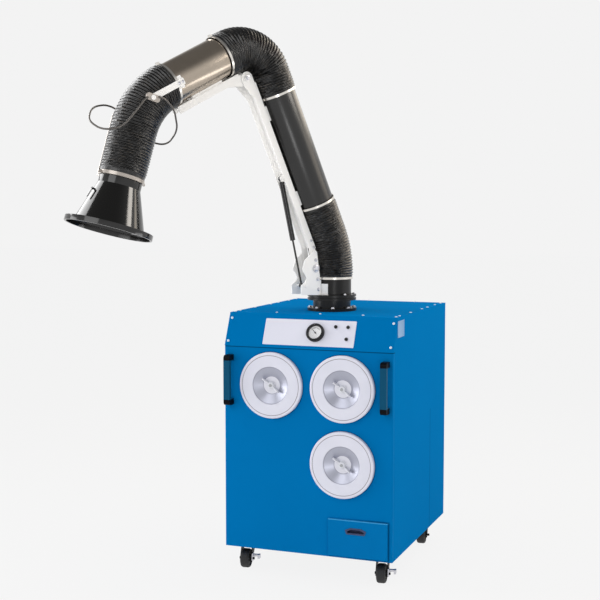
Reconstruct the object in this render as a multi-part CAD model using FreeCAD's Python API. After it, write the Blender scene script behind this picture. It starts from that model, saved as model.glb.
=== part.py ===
import FreeCAD, Part
import math
import os

# A wheeled fume extractor: a sheet-metal filter cabinet on casters that carries a balanced extraction arm.
# The origin is on the floor under the middle of the cabinet. +X is right seen from the front, +Y back, +Z up.
# All sizes are in millimetres.

V = FreeCAD.Vector
X_AXIS = V(1, 0, 0)
Y_AXIS = V(0, 1, 0)
Z_AXIS = V(0, 0, 1)

# General clearances
RUNNING_GAP = 0.05
REST_GAP = 0.3
MOVING_GAP = 1.5

# Cabinet
CABINET_WIDTH = 710.0
CABINET_DEPTH = 820.0
CABINET_HEIGHT = 955.0
FRONT_HEIGHT = 825.0
SLANT_SETBACK = 58.0
SHEET = 2.0
CORNER_RADIUS = 5.0
RETURN_DEPTH = 24.0
LIP_DEPTH = 18.0
PAN_HEIGHT = 28.0

# Exhaust louvres in the left side
LOUVRE_COUNT = 6
LOUVRE_LENGTH = 180.0
LOUVRE_HEIGHT = 12.0
LOUVRE_PITCH = 26.0
LOUVRE_PROUD = 7.0

# Filter stations: three cartridges behind round covers
STATION_X = 150.0
STATION_UPPER = 673.0
STATION_LOWER = 373.0
COVER_RADIUS = 133.0
COVER_PROUD = 17.0
COVER_WALL = 3.0
COVER_EDGE = 5.0
DISH_RADIUS = 74.0
DISH_DEPTH = 19.0
HUB_RADIUS = 36.0
GROOVE_RADIUS = 120.5
GROOVE_WIDTH = 2.0
GROOVE_DEPTH = 1.2
STATION_HOLE = 119.0
YOKE_RADIUS = 6.0
YOKE_END_PROUD = 16.0
KNOB_RADIUS = 13.0
KNOB_HEIGHT = 15.0
WING_REACH = 44.0
WING_THICKNESS = 4.0
WING_TILT = 37.0
CARTRIDGE_RADIUS = 114.0
CARTRIDGE_BORE = 88.0
CARTRIDGE_CAP = 8.0
CARTRIDGE_SETBACK = 14.0
TUBE_SHEET_Y = 153.0
TUBE_SHEET = 3.0
DIVIDER_X = -12.0
SHELF_HEIGHT = 530.0

# Dust drawer
DRAWER_WIDTH = 246.0
DRAWER_INSET = 17.0
DRAWER_LOW = 8.0
DRAWER_HIGH = 155.0
DRAWER_PROUD = 10.0
DRAWER_OVERLAP = 7.0
BIN_LENGTH = 380.0
BIN_WALL = 1.5
PULL_INSET = 116.0
PULL_Z = 113.0
PULL_WIDTH = 80.0
PULL_HEIGHT = 18.0
PULL_DEPTH = 22.0
PULL_RIM = 4.0
PULL_WALL = 2.0

# Push handles
HANDLE_INSET = 27.0
HANDLE_LOW = 587.0
HANDLE_HIGH = 790.0
HANDLE_WIDTH = 26.0
HANDLE_PROUD = 45.0
HANDLE_BAR = 18.0
HANDLE_FOOT = 24.0
HANDLE_ROUND = 14.0

# Control plate on the slanted face, measured along the slope from the break with the front
PLATE_HALF_WIDTH = 191.5
PLATE_LOW = 12.0
PLATE_HIGH = 121.0
PLATE_THICKNESS = 1.5
GAUGE_X = 27.5
GAUGE_UP = 66.8
GAUGE_RADIUS = 37.0
GAUGE_FACE = 28.0
GAUGE_PROUD = 15.0
GAUGE_BODY = 31.0
GAUGE_DEPTH = 38.0
DIAL_LEVEL = 4.0
LENS_LEVEL = 9.5
LENS_THICKNESS = 2.0
LENS_SEAT = 2.0
NEEDLE_LENGTH = 22.0
NEEDLE_REST = 135.0
BUTTON_RADIUS = 7.0
BUTTON_PROUD = 7.0
BUTTON_STEM = 16.0
BUSHING_RADIUS = 10.5
BUSHING_PROUD = 2.5
BUTTON_PLACES = ((109.0, 94.2), (160.0, 94.2), (159.0, 44.9))

# Fan bay behind the lower left of the front
FAN_X = -182.0
FAN_Z = 360.0
FAN_RADIUS = 112.0
FAN_WIDTH = 64.0
FAN_HUB = 26.0
FAN_BLADES = 9
FAN_EYE = 70.0
BLADE = 3.0
SHAFT_RADIUS = 12.0
SCROLL_START = 122.0
SCROLL_STEP = 10.0
SCROLL_DEPTH = 100.0
MOTOR_RADIUS = 84.0
MOTOR_LENGTH = 200.0
MOTOR_FOOT = 12.0

# Cable gland in the back
GLAND_INSET = 95.0
GLAND_Z = 190.0
GLAND_RADIUS = 14.0
GLAND_BORE = 6.0
GLAND_PROUD = 26.0

# Casters
CASTER_HEIGHT = 102.0
CASTER_INSET = 63.0
CASTER_FRONT_INSET = 90.0
CASTER_REAR_INSET = 130.0
CASTER_TRAIL = 30.0
CASTER_HEADING = 7.0
CASTER_PLATE = 4.0
CASTER_PLATE_LENGTH = 95.0
CASTER_PLATE_WIDTH = 76.0
KING_PIN = 6.0
FORK_SHEET = 4.0
FORK_GAP = 20.5
WHEEL_RADIUS = 39.0
WHEEL_WIDTH = 37.0
WHEEL_HUB = 13.0
AXLE_RADIUS = 5.0
LEVER_REACH = 30.0
LEVER_SHEET = 4.0
PEDAL_HEIGHT = 8.0

# Arm: places in the arm's own upright plane, reach from the swivel axis and height above the floor
ARM_AXIS_Y = -112.0
ARM_HEADING = 235.0
DUCT_RADIUS = 80.0
DUCT_WALL = 1.6
BASE_FLANGE_RADIUS = 102.0
BASE_FLANGE = 12.0
BASE_NECK_RADIUS = 78.0
BASE_NECK_HEIGHT = 44.0
SPIGOT_HEIGHT = 20.0
SPIGOT_RADIUS = 74.0
COLLAR_FLANGE_RADIUS = 101.0
COLLAR_FLANGE = 23.0
COLLAR_GROOVE = 6.0
BASE_HOSE_START = 130.0
BASE_BEND_HEIGHT = 237.0
LOWER_TILT = 23.7
LOWER_LENGTH = 929.0
UPPER_DROP = 27.7
UPPER_LENGTH = 562.0
HOOD_TILT = 16.2

# How far the tubes reach into their hoses
TUBE_TUCK = 24.0

# Ribbed hoses
HOSE_CREST = 88.0
HOSE_ROOT = 84.0
HOSE_PITCH = 12.5
HOSE_CUFF = 12.0
BASE_HOSE_TANGENT = 85.0
BASE_HOSE_TAIL = 146.0
ELBOW_HOSE_LEAD = 95.0
ELBOW_HOSE_TANGENT = 140.0
ELBOW_HOSE_TAIL = 49.0
HOOD_HOSE_LEAD = 12.0
HOOD_HOSE_TANGENT = 117.0
BAND_WIDTH = 9.0
BAND_THICKNESS = 1.6
BAND_SCREW = 10.0

# Links
ARM_HALF_SPAN = 200.0
SHOULDER_OFFSET = 120.0
ELBOW_OFFSET = 116.0
LINK_DEPTH = 28.0
LINK_HALF_WIDTH = 31.0
LINK_SHEET = 3.0
LINK_HOSE_GAP = 2.0
EAR_GAP = 0.5
SHOULDER_BACK = 11.0
SHOULDER_EAR = 16.5
ELBOW_EAR = 25.0
INNER_EAR = 22.5
EAR_TAPER = 90.0
LOWER_LINK_START = 64.0
UPPER_LINK_PAST = 18.0
PIN_RADIUS = 7.0
PIN_HEAD_RADIUS = 12.0
PIN_HEAD = 5.0
SADDLE_LENGTH = 60.0
SADDLE_SHEET = 1.7
SADDLE_HALF = 26.0
SADDLE_INSET = 20.0
BRACKET_SHEET = 4.0
BRACKET_HALF_WIDTH = 36.0
BRACKET_RISE = 78.0
SADDLE_WRAP = 40.0
SADDLE_HEIGHT = 46.0

# Gas spring
SPRING_TOP_ALONG = 379.0
SPRING_TOP_OFFSET = 110.0
SPRING_FOOT_REACH = 153.0
SPRING_FOOT_HEIGHT = 108.0
SPRING_RADIUS = 10.5
SPRING_BORE = 8.5
SPRING_ROD = 4.0
SPRING_EYE = 9.0
SPRING_PIN = 4.0
SPRING_EYE_WIDTH = 14.0
SPRING_SHARE = 0.57

# Hood, measured down its own axis from the last bend point
FORK_BAR_HALF = 12.0
FORK_BAR = 4.0
FORK_CLEAR = 1.5
FORK_RING = 18.0
FORK_RING_SHEET = 3.0
HOOD_PIN = 5.0
STRAP_WIDTH = 46.0
STRAP_SHEET = 3.0
STRAP_OFFSET = 32.0
PIVOT_PLATE_HALF = 13.0
COLLAR_AT = 295.0
COLLAR_LENGTH = 13.0
COLLAR_RADIUS = 86.0
COLLAR_KNOB = 5.5
COLLAR_KNOB_REACH = 11.0
COLLAR_SPIGOT = 34.0
HOOD_NECK_RADIUS = 77.0
HOOD_NECK_END = 337.0
HOOD_CONE_RADIUS = 131.0
HOOD_RIM_RADIUS = 165.0
HOOD_RIM_AT = 485.0
HOOD_RIM = 20.0
HOOD_WALL = 2.5
DAMPER_AT = 372.0
DAMPER_SHEET = 2.0
DAMPER_SHAFT = 4.0
DAMPER_LEVER = 36.0
RING_WIRE = 3.5

# The handle ring's wire runs from the near pivot round the hose and back: outward, sideways and up from the pivot
RING_SEAT = 22.0
RING_ROUTE = (
    (64.0, 106.0, -40.0),
    (128.0, 104.0, -112.0),
    (190.0, 66.0, -122.0),
    (214.0, 0.0, -86.0),
    (168.0, -70.0, -30.0),
    (76.0, -110.0, -14.0),
    (-10.0, -112.0, -70.0),
    (-84.0, -106.0, -150.0),
    (-136.0, -60.0, -164.0),
    (-150.0, 4.0, -110.0),
    (-100.0, 70.0, -36.0),
)

# Places worked out from the sizes above
FLOOR_TO_BASE = CASTER_HEIGHT
BREAK_Z = FLOOR_TO_BASE + FRONT_HEIGHT
TOP_Z = FLOOR_TO_BASE + CABINET_HEIGHT
SIDE_X = CABINET_WIDTH / 2
HANDLE_X = SIDE_X - HANDLE_INSET
DRAWER_RIGHT = SIDE_X - DRAWER_INSET
DRAWER_LEFT = DRAWER_RIGHT - DRAWER_WIDTH
PULL_X = DRAWER_LEFT + PULL_INSET
GLAND_X = -SIDE_X + GLAND_INSET
LOWER_TUBE_START = BASE_HOSE_TANGENT + BASE_HOSE_TAIL
LOWER_TUBE_END = LOWER_LENGTH - ELBOW_HOSE_TANGENT - ELBOW_HOSE_LEAD
UPPER_TUBE_START = ELBOW_HOSE_TANGENT + ELBOW_HOSE_TAIL
UPPER_TUBE_END = UPPER_LENGTH - HOOD_HOSE_TANGENT - HOOD_HOSE_LEAD
DAMPER_RADIUS = DUCT_RADIUS - HOOD_WALL - MOVING_GAP
FRONT_Y = -CABINET_DEPTH / 2
BACK_Y = CABINET_DEPTH / 2
CASTER_X = SIDE_X - CASTER_INSET
CASTER_FRONT_Y = FRONT_Y + CASTER_FRONT_INSET
CASTER_REAR_Y = BACK_Y - CASTER_REAR_INSET
SLANT_RISE = CABINET_HEIGHT - FRONT_HEIGHT
SLANT_LENGTH = math.hypot(SLANT_SETBACK, SLANT_RISE)
SLANT_ANGLE = math.degrees(math.atan2(SLANT_RISE, SLANT_SETBACK))
STATIONS = {
    "upper_left": (-STATION_X, FLOOR_TO_BASE + STATION_UPPER),
    "upper_right": (STATION_X, FLOOR_TO_BASE + STATION_UPPER),
    "lower_right": (STATION_X, FLOOR_TO_BASE + STATION_LOWER),
}
CASTERS = {
    "front_left": (-CASTER_X, CASTER_FRONT_Y),
    "front_right": (CASTER_X, CASTER_FRONT_Y),
    "rear_left": (-CASTER_X, CASTER_REAR_Y),
    "rear_right": (CASTER_X, CASTER_REAR_Y),
}
BRAKED = ("front_left", "front_right")


# Solids from plain sizes

def box(low, high):
    """Box between two opposite corners."""
    size = V(*high) - V(*low)
    return Part.makeBox(size.x, size.y, size.z, V(*low))


def rod(radius, start, end):
    """Round bar between two points."""
    axis = V(*end) - V(*start)
    return Part.makeCylinder(radius, axis.Length, V(*start), axis)


def pipe(outer, inner, start, end):
    """Round tube between two points."""
    return rod(outer, start, end).cut(rod(inner, start, end))


def turned(profile, origin=(0, 0, 0), axis=Z_AXIS):
    """Solid of revolution of (radius, height) corners about an axis through the origin point."""
    corners = [V(r, 0, h) for r, h in profile]
    face = Part.Face(Part.makePolygon(corners + corners[:1]))
    solid = face.revolve(V(0, 0, 0), Z_AXIS, 360)
    solid.Placement = FreeCAD.Placement(V(*origin), FreeCAD.Rotation(Z_AXIS, axis))
    return solid


def outline(corners, radii=None):
    """Closed wire through 2-D corners in the XY plane, with a round of its own radius at each corner."""
    count = len(corners)
    radii = radii or [0] * count
    starts, ends, middles = [], [], []
    for i, corner in enumerate(corners):
        here = V(corner[0], corner[1], 0)
        before = V(*corners[i - 1], 0) - here
        after = V(*corners[(i + 1) % count], 0) - here
        before.normalize()
        after.normalize()
        half = before.getAngle(after) / 2
        reach = radii[i] / math.tan(half)
        bisector = before + after
        starts.append(here + before * reach)
        ends.append(here + after * reach)
        if radii[i]:
            bisector.normalize()
            middles.append(here + bisector * (radii[i] / math.sin(half) - radii[i]))
        else:
            middles.append(None)
    edges = []
    for i in range(count):
        if middles[i]:
            edges.append(Part.Arc(starts[i], middles[i], ends[i]).toShape())
        following = starts[(i + 1) % count]
        if (following - ends[i]).Length > 1e-6:
            edges.append(Part.makeLine(ends[i], following))
    return Part.Wire(edges)


def plate(corners, thickness, radii=None):
    """Flat plate of a rounded outline, lying on the XY plane."""
    return Part.Face(outline(corners, radii)).extrude(V(0, 0, thickness))


def upright(shape, x=0.0):
    """Turn a flat drawing (across, up) into the YZ plane at x: its thickness runs along +X."""
    shape.Placement = FreeCAD.Placement(V(x, 0, 0), FreeCAD.Rotation(V(0, 1, 0), V(0, 0, 1), V(1, 0, 0), "ZXY"))
    return shape


def facing(shape, y=0.0):
    """Turn a flat drawing (across, up) into the XZ plane at y: its thickness runs along -Y."""
    shape.Placement = FreeCAD.Placement(V(0, y, 0), FreeCAD.Rotation(V(1, 0, 0), V(0, 0, 1), V(0, -1, 0), "ZXY"))
    return shape


def fused(first, *others):
    """One clean solid from touching pieces."""
    return first.fuse(list(others)).removeSplitter()


def group(pieces):
    """Separate solids that share one name."""
    return Part.makeCompound(pieces)


# Frames of the slanted face, of a caster and of the arm

def on_slant(shape):
    """Move a shape from the slant's own axes (across, up the slope, outward) to its place."""
    move = FreeCAD.Placement(V(0, FRONT_Y, BREAK_Z), FreeCAD.Rotation(X_AXIS, SLANT_ANGLE))
    shape.Placement = move.multiply(shape.Placement)
    return shape


def at_caster(shape, place):
    """Move a caster piece from its swivel axis to its corner, turned to the heading it was left at."""
    move = FreeCAD.Placement(V(place[0], place[1], 0), FreeCAD.Rotation(Z_AXIS, CASTER_HEADING))
    shape.Placement = move.multiply(shape.Placement)
    return shape


def on_arm(shape):
    """Move a shape from the arm's upright plane (reach, side, height) to its heading on the cabinet."""
    move = FreeCAD.Placement(V(0, ARM_AXIS_Y, 0), FreeCAD.Rotation(Z_AXIS, ARM_HEADING))
    shape.Placement = move.multiply(shape.Placement)
    return shape


# Cabinet panels

def slant_inner(depth):
    """Foot and head (y, z) of the slant's line at a depth under its outer face, between break and top."""
    across = depth * SLANT_LENGTH / SLANT_RISE
    run = SLANT_SETBACK * (SLANT_RISE - depth) / SLANT_RISE
    foot = (FRONT_Y + across, BREAK_Z)
    head = (FRONT_Y + across + run, TOP_Z - depth)
    return foot, head


def wrapped_sheet(front_y, top_z, inward):
    """Panel across the cabinet with rounded corners and returns along both sides."""
    low = min(front_y, front_y + inward * RETURN_DEPTH)
    high = max(front_y, front_y + inward * RETURN_DEPTH)
    outer = box((-SIDE_X, low, FLOOR_TO_BASE), (SIDE_X, high, top_z))
    corners = [e for e in outer.Edges if abs(e.tangentAt(e.FirstParameter).z) > 0.9
               and abs(e.Vertexes[0].Y - front_y) < 0.1]
    outer = outer.makeFillet(CORNER_RADIUS, corners)
    inner_y = front_y + inward * SHEET
    far_y = front_y + inward * (RETURN_DEPTH + 1)
    inner = box((-SIDE_X + SHEET, min(inner_y, far_y), FLOOR_TO_BASE - 1),
                (SIDE_X - SHEET, max(inner_y, far_y), top_z + 1))
    corners = [e for e in inner.Edges if abs(e.tangentAt(e.FirstParameter).z) > 0.9
               and abs(e.Vertexes[0].Y - inner_y) < 0.1]
    return outer.cut(inner.makeFillet(CORNER_RADIUS - SHEET, corners))


def drawer_hole():
    """Left, right, low and high edges of the opening behind the drawer front."""
    return (DRAWER_LEFT + DRAWER_OVERLAP, DRAWER_RIGHT - DRAWER_OVERLAP,
            FLOOR_TO_BASE + DRAWER_LOW + DRAWER_OVERLAP, FLOOR_TO_BASE + DRAWER_HIGH - DRAWER_OVERLAP)


def front_panel():
    panel = wrapped_sheet(FRONT_Y, BREAK_Z, 1)
    for x, z in STATIONS.values():
        panel = panel.cut(rod(STATION_HOLE, (x, FRONT_Y - 1, z), (x, FRONT_Y + SHEET + 1, z)))
    left, right, low, high = drawer_hole()
    return panel.cut(box((left, FRONT_Y - 1, low), (right, FRONT_Y + SHEET + 1, high)))


def back_panel():
    panel = wrapped_sheet(BACK_Y, TOP_Z - SHEET, -1)
    return panel.cut(rod(GLAND_RADIUS * 0.8 + REST_GAP, (GLAND_X, BACK_Y - SHEET - 1, GLAND_Z),
                         (GLAND_X, BACK_Y + 1, GLAND_Z)))


def side_outline(inset):
    """Side panel's profile in (y, z), drawn in by an inset on every edge."""
    foot, head = slant_inner(SHEET + inset)
    front = FRONT_Y + RETURN_DEPTH + inset
    back = BACK_Y - RETURN_DEPTH - inset
    low = FLOOR_TO_BASE + inset
    high = TOP_Z - SHEET - inset
    foot_y = foot[0] + SLANT_SETBACK * inset / SLANT_RISE
    corners = [(front, low), (back, low), (back, high), head, (foot_y, BREAK_Z + inset), (front, BREAK_Z + inset)]
    return corners, [0, 0, 0, CORNER_RADIUS - SHEET, 0, 0]


def side_panel(right):
    """Flat side with returned lips along its front, top and back."""
    corners, radii = side_outline(0)
    skin = plate(corners, SHEET, radii)
    lips = plate(corners, LIP_DEPTH, radii)
    lips = lips.cut(plate(side_outline(SHEET)[0], LIP_DEPTH))
    lips.translate(V(0, 0, SHEET))
    lips = lips.cut(box((FRONT_Y, FLOOR_TO_BASE, 0), (BACK_Y, FLOOR_TO_BASE + PAN_HEIGHT, LIP_DEPTH + 2 * SHEET)))
    panel = upright(fused(skin, lips), -SIDE_X)
    if right:
        return panel.mirror(V(0, 0, 0), X_AXIS)
    return panel


def louvre_levels():
    """Heights of the exhaust louvres, centred on the scroll's outlet."""
    outlet_low, outlet_high = scroll_outlet()
    middle = (outlet_low + outlet_high) / 2
    return [middle + (i - (LOUVRE_COUNT - 1) / 2) * LOUVRE_PITCH for i in range(LOUVRE_COUNT)]


def side_panel_left():
    panel = side_panel(False)
    middle_y = TUBE_SHEET_Y - SCROLL_DEPTH / 2
    for z in louvre_levels():
        low_y = middle_y - LOUVRE_LENGTH / 2
        high_y = middle_y + LOUVRE_LENGTH / 2
        seam = 2 * SHEET
        panel = panel.cut(box((-SIDE_X - 1, low_y, z - LOUVRE_HEIGHT), (-SIDE_X + SHEET, high_y, z - seam)))
        hood = plate([(0, LOUVRE_HEIGHT), (-LOUVRE_PROUD, 0), (SHEET - LOUVRE_PROUD, 0), (0, LOUVRE_HEIGHT - seam)],
                     LOUVRE_LENGTH)
        hood.Placement = FreeCAD.Placement(V(-SIDE_X, high_y, z - LOUVRE_HEIGHT), FreeCAD.Rotation(X_AXIS, 90))
        panel = panel.fuse(hood)
    return panel


def side_panel_right():
    return side_panel(True)


def top_cover():
    """One folded sheet: the slanted face and the flat top, with the arm's duct hole."""
    outer = [(FRONT_Y, BREAK_Z), (FRONT_Y + SLANT_SETBACK, TOP_Z), (BACK_Y, TOP_Z)]
    foot, head = slant_inner(SHEET)
    corners = outer + [(BACK_Y, TOP_Z - SHEET), head, foot]
    radii = [0, CORNER_RADIUS, 0, 0, CORNER_RADIUS - SHEET, 0]
    cover = upright(plate(corners, CABINET_WIDTH, radii), -SIDE_X)
    cover = cover.cut(rod(SPIGOT_RADIUS, (0, ARM_AXIS_Y, TOP_Z - 10), (0, ARM_AXIS_Y, TOP_Z + 10)))
    holes = [rod(GAUGE_BODY + REST_GAP, (GAUGE_X, GAUGE_UP, -10), (GAUGE_X, GAUGE_UP, 10))]
    holes += [rod(BUTTON_RADIUS + MOVING_GAP, (x, up, -10), (x, up, 10)) for x, up in BUTTON_PLACES]
    return cover.cut([on_slant(h) for h in holes])


def base_pan():
    """Floor tray of the cabinet with its upstand, notched for the drawer, and the drawer's two runners."""
    inner_x = SIDE_X - SHEET
    inner_y = BACK_Y - SHEET
    floor_z = FLOOR_TO_BASE + SHEET
    pan = box((-inner_x, -inner_y, FLOOR_TO_BASE), (inner_x, inner_y, FLOOR_TO_BASE + PAN_HEIGHT))
    pan = pan.makeFillet(CORNER_RADIUS, [e for e in pan.Edges if abs(e.tangentAt(e.FirstParameter).z) > 0.9])
    pan = pan.cut(box((-inner_x + SHEET, -inner_y + SHEET, floor_z),
                      (inner_x - SHEET, inner_y - SHEET, FLOOR_TO_BASE + PAN_HEIGHT + 1)))
    left, right, low, high = drawer_hole()
    pan = pan.cut(box((left, -inner_y - 1, floor_z), (right, -inner_y + SHEET + 1, FLOOR_TO_BASE + PAN_HEIGHT + 1)))
    rail = (low - floor_z) + BIN_WALL + REST_GAP
    for x in (left + RETURN_DEPTH, right - RETURN_DEPTH):
        runner = box((x - SHEET, -inner_y + SHEET, floor_z), (x + SHEET, FRONT_Y + BIN_LENGTH, floor_z + rail))
        pan = pan.fuse(runner)
    return pan.removeSplitter()


def inner_partitions():
    """Tube sheet with its yokes, and the divider that walls off the fan bay."""
    half = SIDE_X - 2 * SHEET
    low = FLOOR_TO_BASE + SHEET
    shelf_z = FLOOR_TO_BASE + SHELF_HEIGHT
    sheet_back = TUBE_SHEET_Y + TUBE_SHEET
    sheet = box((-half, TUBE_SHEET_Y, low), (half, sheet_back, TOP_Z - 2 * SHEET))
    yokes = []
    for x, z in STATIONS.values():
        sheet = sheet.cut(rod(CARTRIDGE_BORE, (x, TUBE_SHEET_Y - 1, z), (x, sheet_back + 1, z)))
        bar = box((x - CARTRIDGE_BORE - 12, sheet_back, z - 10), (x + CARTRIDGE_BORE + 12, sheet_back + 5, z + 10))
        yokes.append(fused(bar, rod(YOKE_RADIUS, (x, sheet_back, z), (x, FRONT_Y - YOKE_END_PROUD, z))))
    sheet = sheet.cut(rod(FAN_EYE, (FAN_X, TUBE_SHEET_Y - 1, FAN_Z), (FAN_X, sheet_back + 1, FAN_Z)))
    front = FRONT_Y + 2 * SHEET
    shelf_x = -SIDE_X + SHEET + LIP_DEPTH + REST_GAP
    shelf = box((shelf_x, front, shelf_z - SHEET), (DIVIDER_X, TUBE_SHEET_Y, shelf_z))
    wall = box((DIVIDER_X - SHEET, front, low), (DIVIDER_X, TUBE_SHEET_Y, shelf_z - SHEET))
    return group([sheet, fused(shelf, wall)] + yokes)


def filter_cartridges():
    """Three round filter elements: two end caps and the media wall between them."""
    elements = []
    length = TUBE_SHEET_Y - (FRONT_Y + CARTRIDGE_SETBACK)
    media = CARTRIDGE_RADIUS - 4
    profile = [
        (YOKE_RADIUS + MOVING_GAP, 0), (CARTRIDGE_RADIUS, 0), (CARTRIDGE_RADIUS, CARTRIDGE_CAP),
        (media, CARTRIDGE_CAP), (media, length - CARTRIDGE_CAP), (CARTRIDGE_RADIUS, length - CARTRIDGE_CAP),
        (CARTRIDGE_RADIUS, length), (CARTRIDGE_BORE, length), (CARTRIDGE_BORE, CARTRIDGE_CAP),
        (YOKE_RADIUS + MOVING_GAP, CARTRIDGE_CAP),
    ]
    for x, z in STATIONS.values():
        elements.append(turned(profile, (x, FRONT_Y + CARTRIDGE_SETBACK, z), Y_AXIS))
    return group(elements)


# Filter covers and their wing knobs, drawn outward from the front face

def filter_cover(place):
    rim = COVER_RADIUS - COVER_EDGE
    hub = COVER_PROUD - DISH_DEPTH
    groove_in = GROOVE_RADIUS - GROOVE_WIDTH / 2
    groove_out = GROOVE_RADIUS + GROOVE_WIDTH / 2
    eye = YOKE_RADIUS + 1.0
    profile = [
        (COVER_RADIUS, REST_GAP), (COVER_RADIUS, COVER_PROUD - COVER_EDGE),
        (COVER_RADIUS - COVER_EDGE * 0.3, COVER_PROUD - COVER_EDGE * 0.3), (rim, COVER_PROUD),
        (groove_out, COVER_PROUD), (groove_out, COVER_PROUD - GROOVE_DEPTH),
        (groove_in, COVER_PROUD - GROOVE_DEPTH), (groove_in, COVER_PROUD),
        (DISH_RADIUS + 3, COVER_PROUD), (DISH_RADIUS, COVER_PROUD - 2),
        (HUB_RADIUS + 2, hub), (eye, hub), (eye, hub - COVER_WALL),
        (HUB_RADIUS + 1, hub - COVER_WALL), (DISH_RADIUS - 1, COVER_PROUD - 2 - COVER_WALL),
        (COVER_RADIUS - COVER_WALL - 2, COVER_PROUD - COVER_WALL - 1),
        (COVER_RADIUS - COVER_WALL - 2, REST_GAP),
    ]
    return turned(profile, (place[0], FRONT_Y, place[1]), -Y_AXIS)


def cover_knob(place):
    """Wing knob: a round nut with two tapered wings."""
    seat = COVER_PROUD - DISH_DEPTH + REST_GAP
    bore = YOKE_RADIUS + RUNNING_GAP
    half = WING_THICKNESS / 2
    nut = turned([(bore, 0), (KNOB_RADIUS + 4, 0), (KNOB_RADIUS, 4), (KNOB_RADIUS, KNOB_HEIGHT - 2),
                  (KNOB_RADIUS - 2, KNOB_HEIGHT), (bore, KNOB_HEIGHT)])
    wing = plate([(KNOB_RADIUS - 3, 2), (WING_REACH - 6, 3), (WING_REACH, 9), (WING_REACH, KNOB_HEIGHT + 5),
                  (WING_REACH - 10, KNOB_HEIGHT + 5), (KNOB_RADIUS - 3, KNOB_HEIGHT - 3)],
                 WING_THICKNESS, [0, 6, 4, 4, 8, 0])
    wing.Placement = FreeCAD.Placement(V(0, half, 0), FreeCAD.Rotation(X_AXIS, 90))
    other = wing.copy()
    other.rotate(V(0, 0, 0), Z_AXIS, 180)
    knob = fused(nut, wing, other)
    knob.rotate(V(0, 0, 0), Z_AXIS, -WING_TILT)
    knob.Placement = FreeCAD.Placement(V(place[0], FRONT_Y - seat, place[1]),
                                       FreeCAD.Rotation(X_AXIS, 90)).multiply(knob.Placement)
    return knob


# Dust drawer

def pull_outline(grow):
    """Half-moon outline of the pull, drawn out by a rim."""
    half = PULL_WIDTH / 2 + grow
    low = FLOOR_TO_BASE + PULL_Z - PULL_HEIGHT / 2 - grow
    high = FLOOR_TO_BASE + PULL_Z + PULL_HEIGHT / 2 + grow
    corners = [(PULL_X - half * 0.86, low), (PULL_X + half * 0.86, low), (PULL_X + half, high - PULL_HEIGHT * 0.55),
               (PULL_X + half * 0.5, high), (PULL_X - half * 0.5, high), (PULL_X - half, high - PULL_HEIGHT * 0.55)]
    return corners, [4, 4, 3, 14, 14, 3]


def pull_block(grow, front, depth):
    """Half-moon block from a front level backward."""
    corners, radii = pull_outline(grow)
    return facing(plate(corners, depth, radii), front + depth)


def dust_drawer():
    """Drawer front folded from sheet, with the open bin behind it."""
    left, right, low, high = drawer_hole()
    face_y = FRONT_Y - DRAWER_PROUD
    front = box((DRAWER_LEFT, face_y, FLOOR_TO_BASE + DRAWER_LOW),
                (DRAWER_RIGHT, FRONT_Y - REST_GAP, FLOOR_TO_BASE + DRAWER_HIGH))
    edges = [e for e in front.Edges if abs(e.Vertexes[0].Y - face_y) < 0.1 and abs(e.Vertexes[1].Y - face_y) < 0.1]
    front = front.makeFillet(SHEET, edges)
    gap = MOVING_GAP
    bin_low = low + BIN_WALL
    bin_box = box((left + gap, face_y + SHEET, bin_low + REST_GAP * 2),
                  (right - gap, FRONT_Y + BIN_LENGTH, high - gap))
    inside = box((left + gap + BIN_WALL, face_y + SHEET, bin_low + REST_GAP * 2 + BIN_WALL),
                 (right - gap - BIN_WALL, FRONT_Y + BIN_LENGTH - BIN_WALL, high + gap))
    roof = box((left, face_y, high - gap), (right, FRONT_Y - REST_GAP, high + gap * 2))
    drawer = fused(front, bin_box).cut(inside.cut(roof))
    return drawer.cut(pull_block(REST_GAP, face_y - 1, SHEET + 2))


def drawer_pull():
    """Moulded finger cup with a rim on the drawer front."""
    face_y = FRONT_Y - DRAWER_PROUD
    rim = pull_block(PULL_RIM, face_y - PULL_WALL, PULL_WALL)
    cup = pull_block(0, face_y, PULL_DEPTH)
    hollow = pull_block(-PULL_WALL, face_y - PULL_WALL - 1, PULL_DEPTH + 1)
    return fused(rim, cup).cut(hollow)


# Push handles

def push_handles():
    """Two bridge handles, each one bar with rounded shoulders."""
    handles = []
    low = FLOOR_TO_BASE + HANDLE_LOW
    high = FLOOR_TO_BASE + HANDLE_HIGH
    for x in (-HANDLE_X, HANDLE_X):
        bridge = plate([(FRONT_Y, low), (FRONT_Y - HANDLE_PROUD, low), (FRONT_Y - HANDLE_PROUD, high), (FRONT_Y, high)],
                       HANDLE_WIDTH, [0, HANDLE_ROUND, HANDLE_ROUND, 0])
        inner = FRONT_Y - HANDLE_PROUD + HANDLE_BAR
        gap = plate([(FRONT_Y + 1, low + HANDLE_FOOT), (inner, low + HANDLE_FOOT), (inner, high - HANDLE_FOOT),
                     (FRONT_Y + 1, high - HANDLE_FOOT)], HANDLE_WIDTH, [0, HANDLE_ROUND / 2, HANDLE_ROUND / 2, 0])
        handles.append(upright(bridge.cut(gap), x - HANDLE_WIDTH / 2))
    return group(handles)


# Control plate, gauge and buttons, drawn in the slant's own axes

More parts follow.
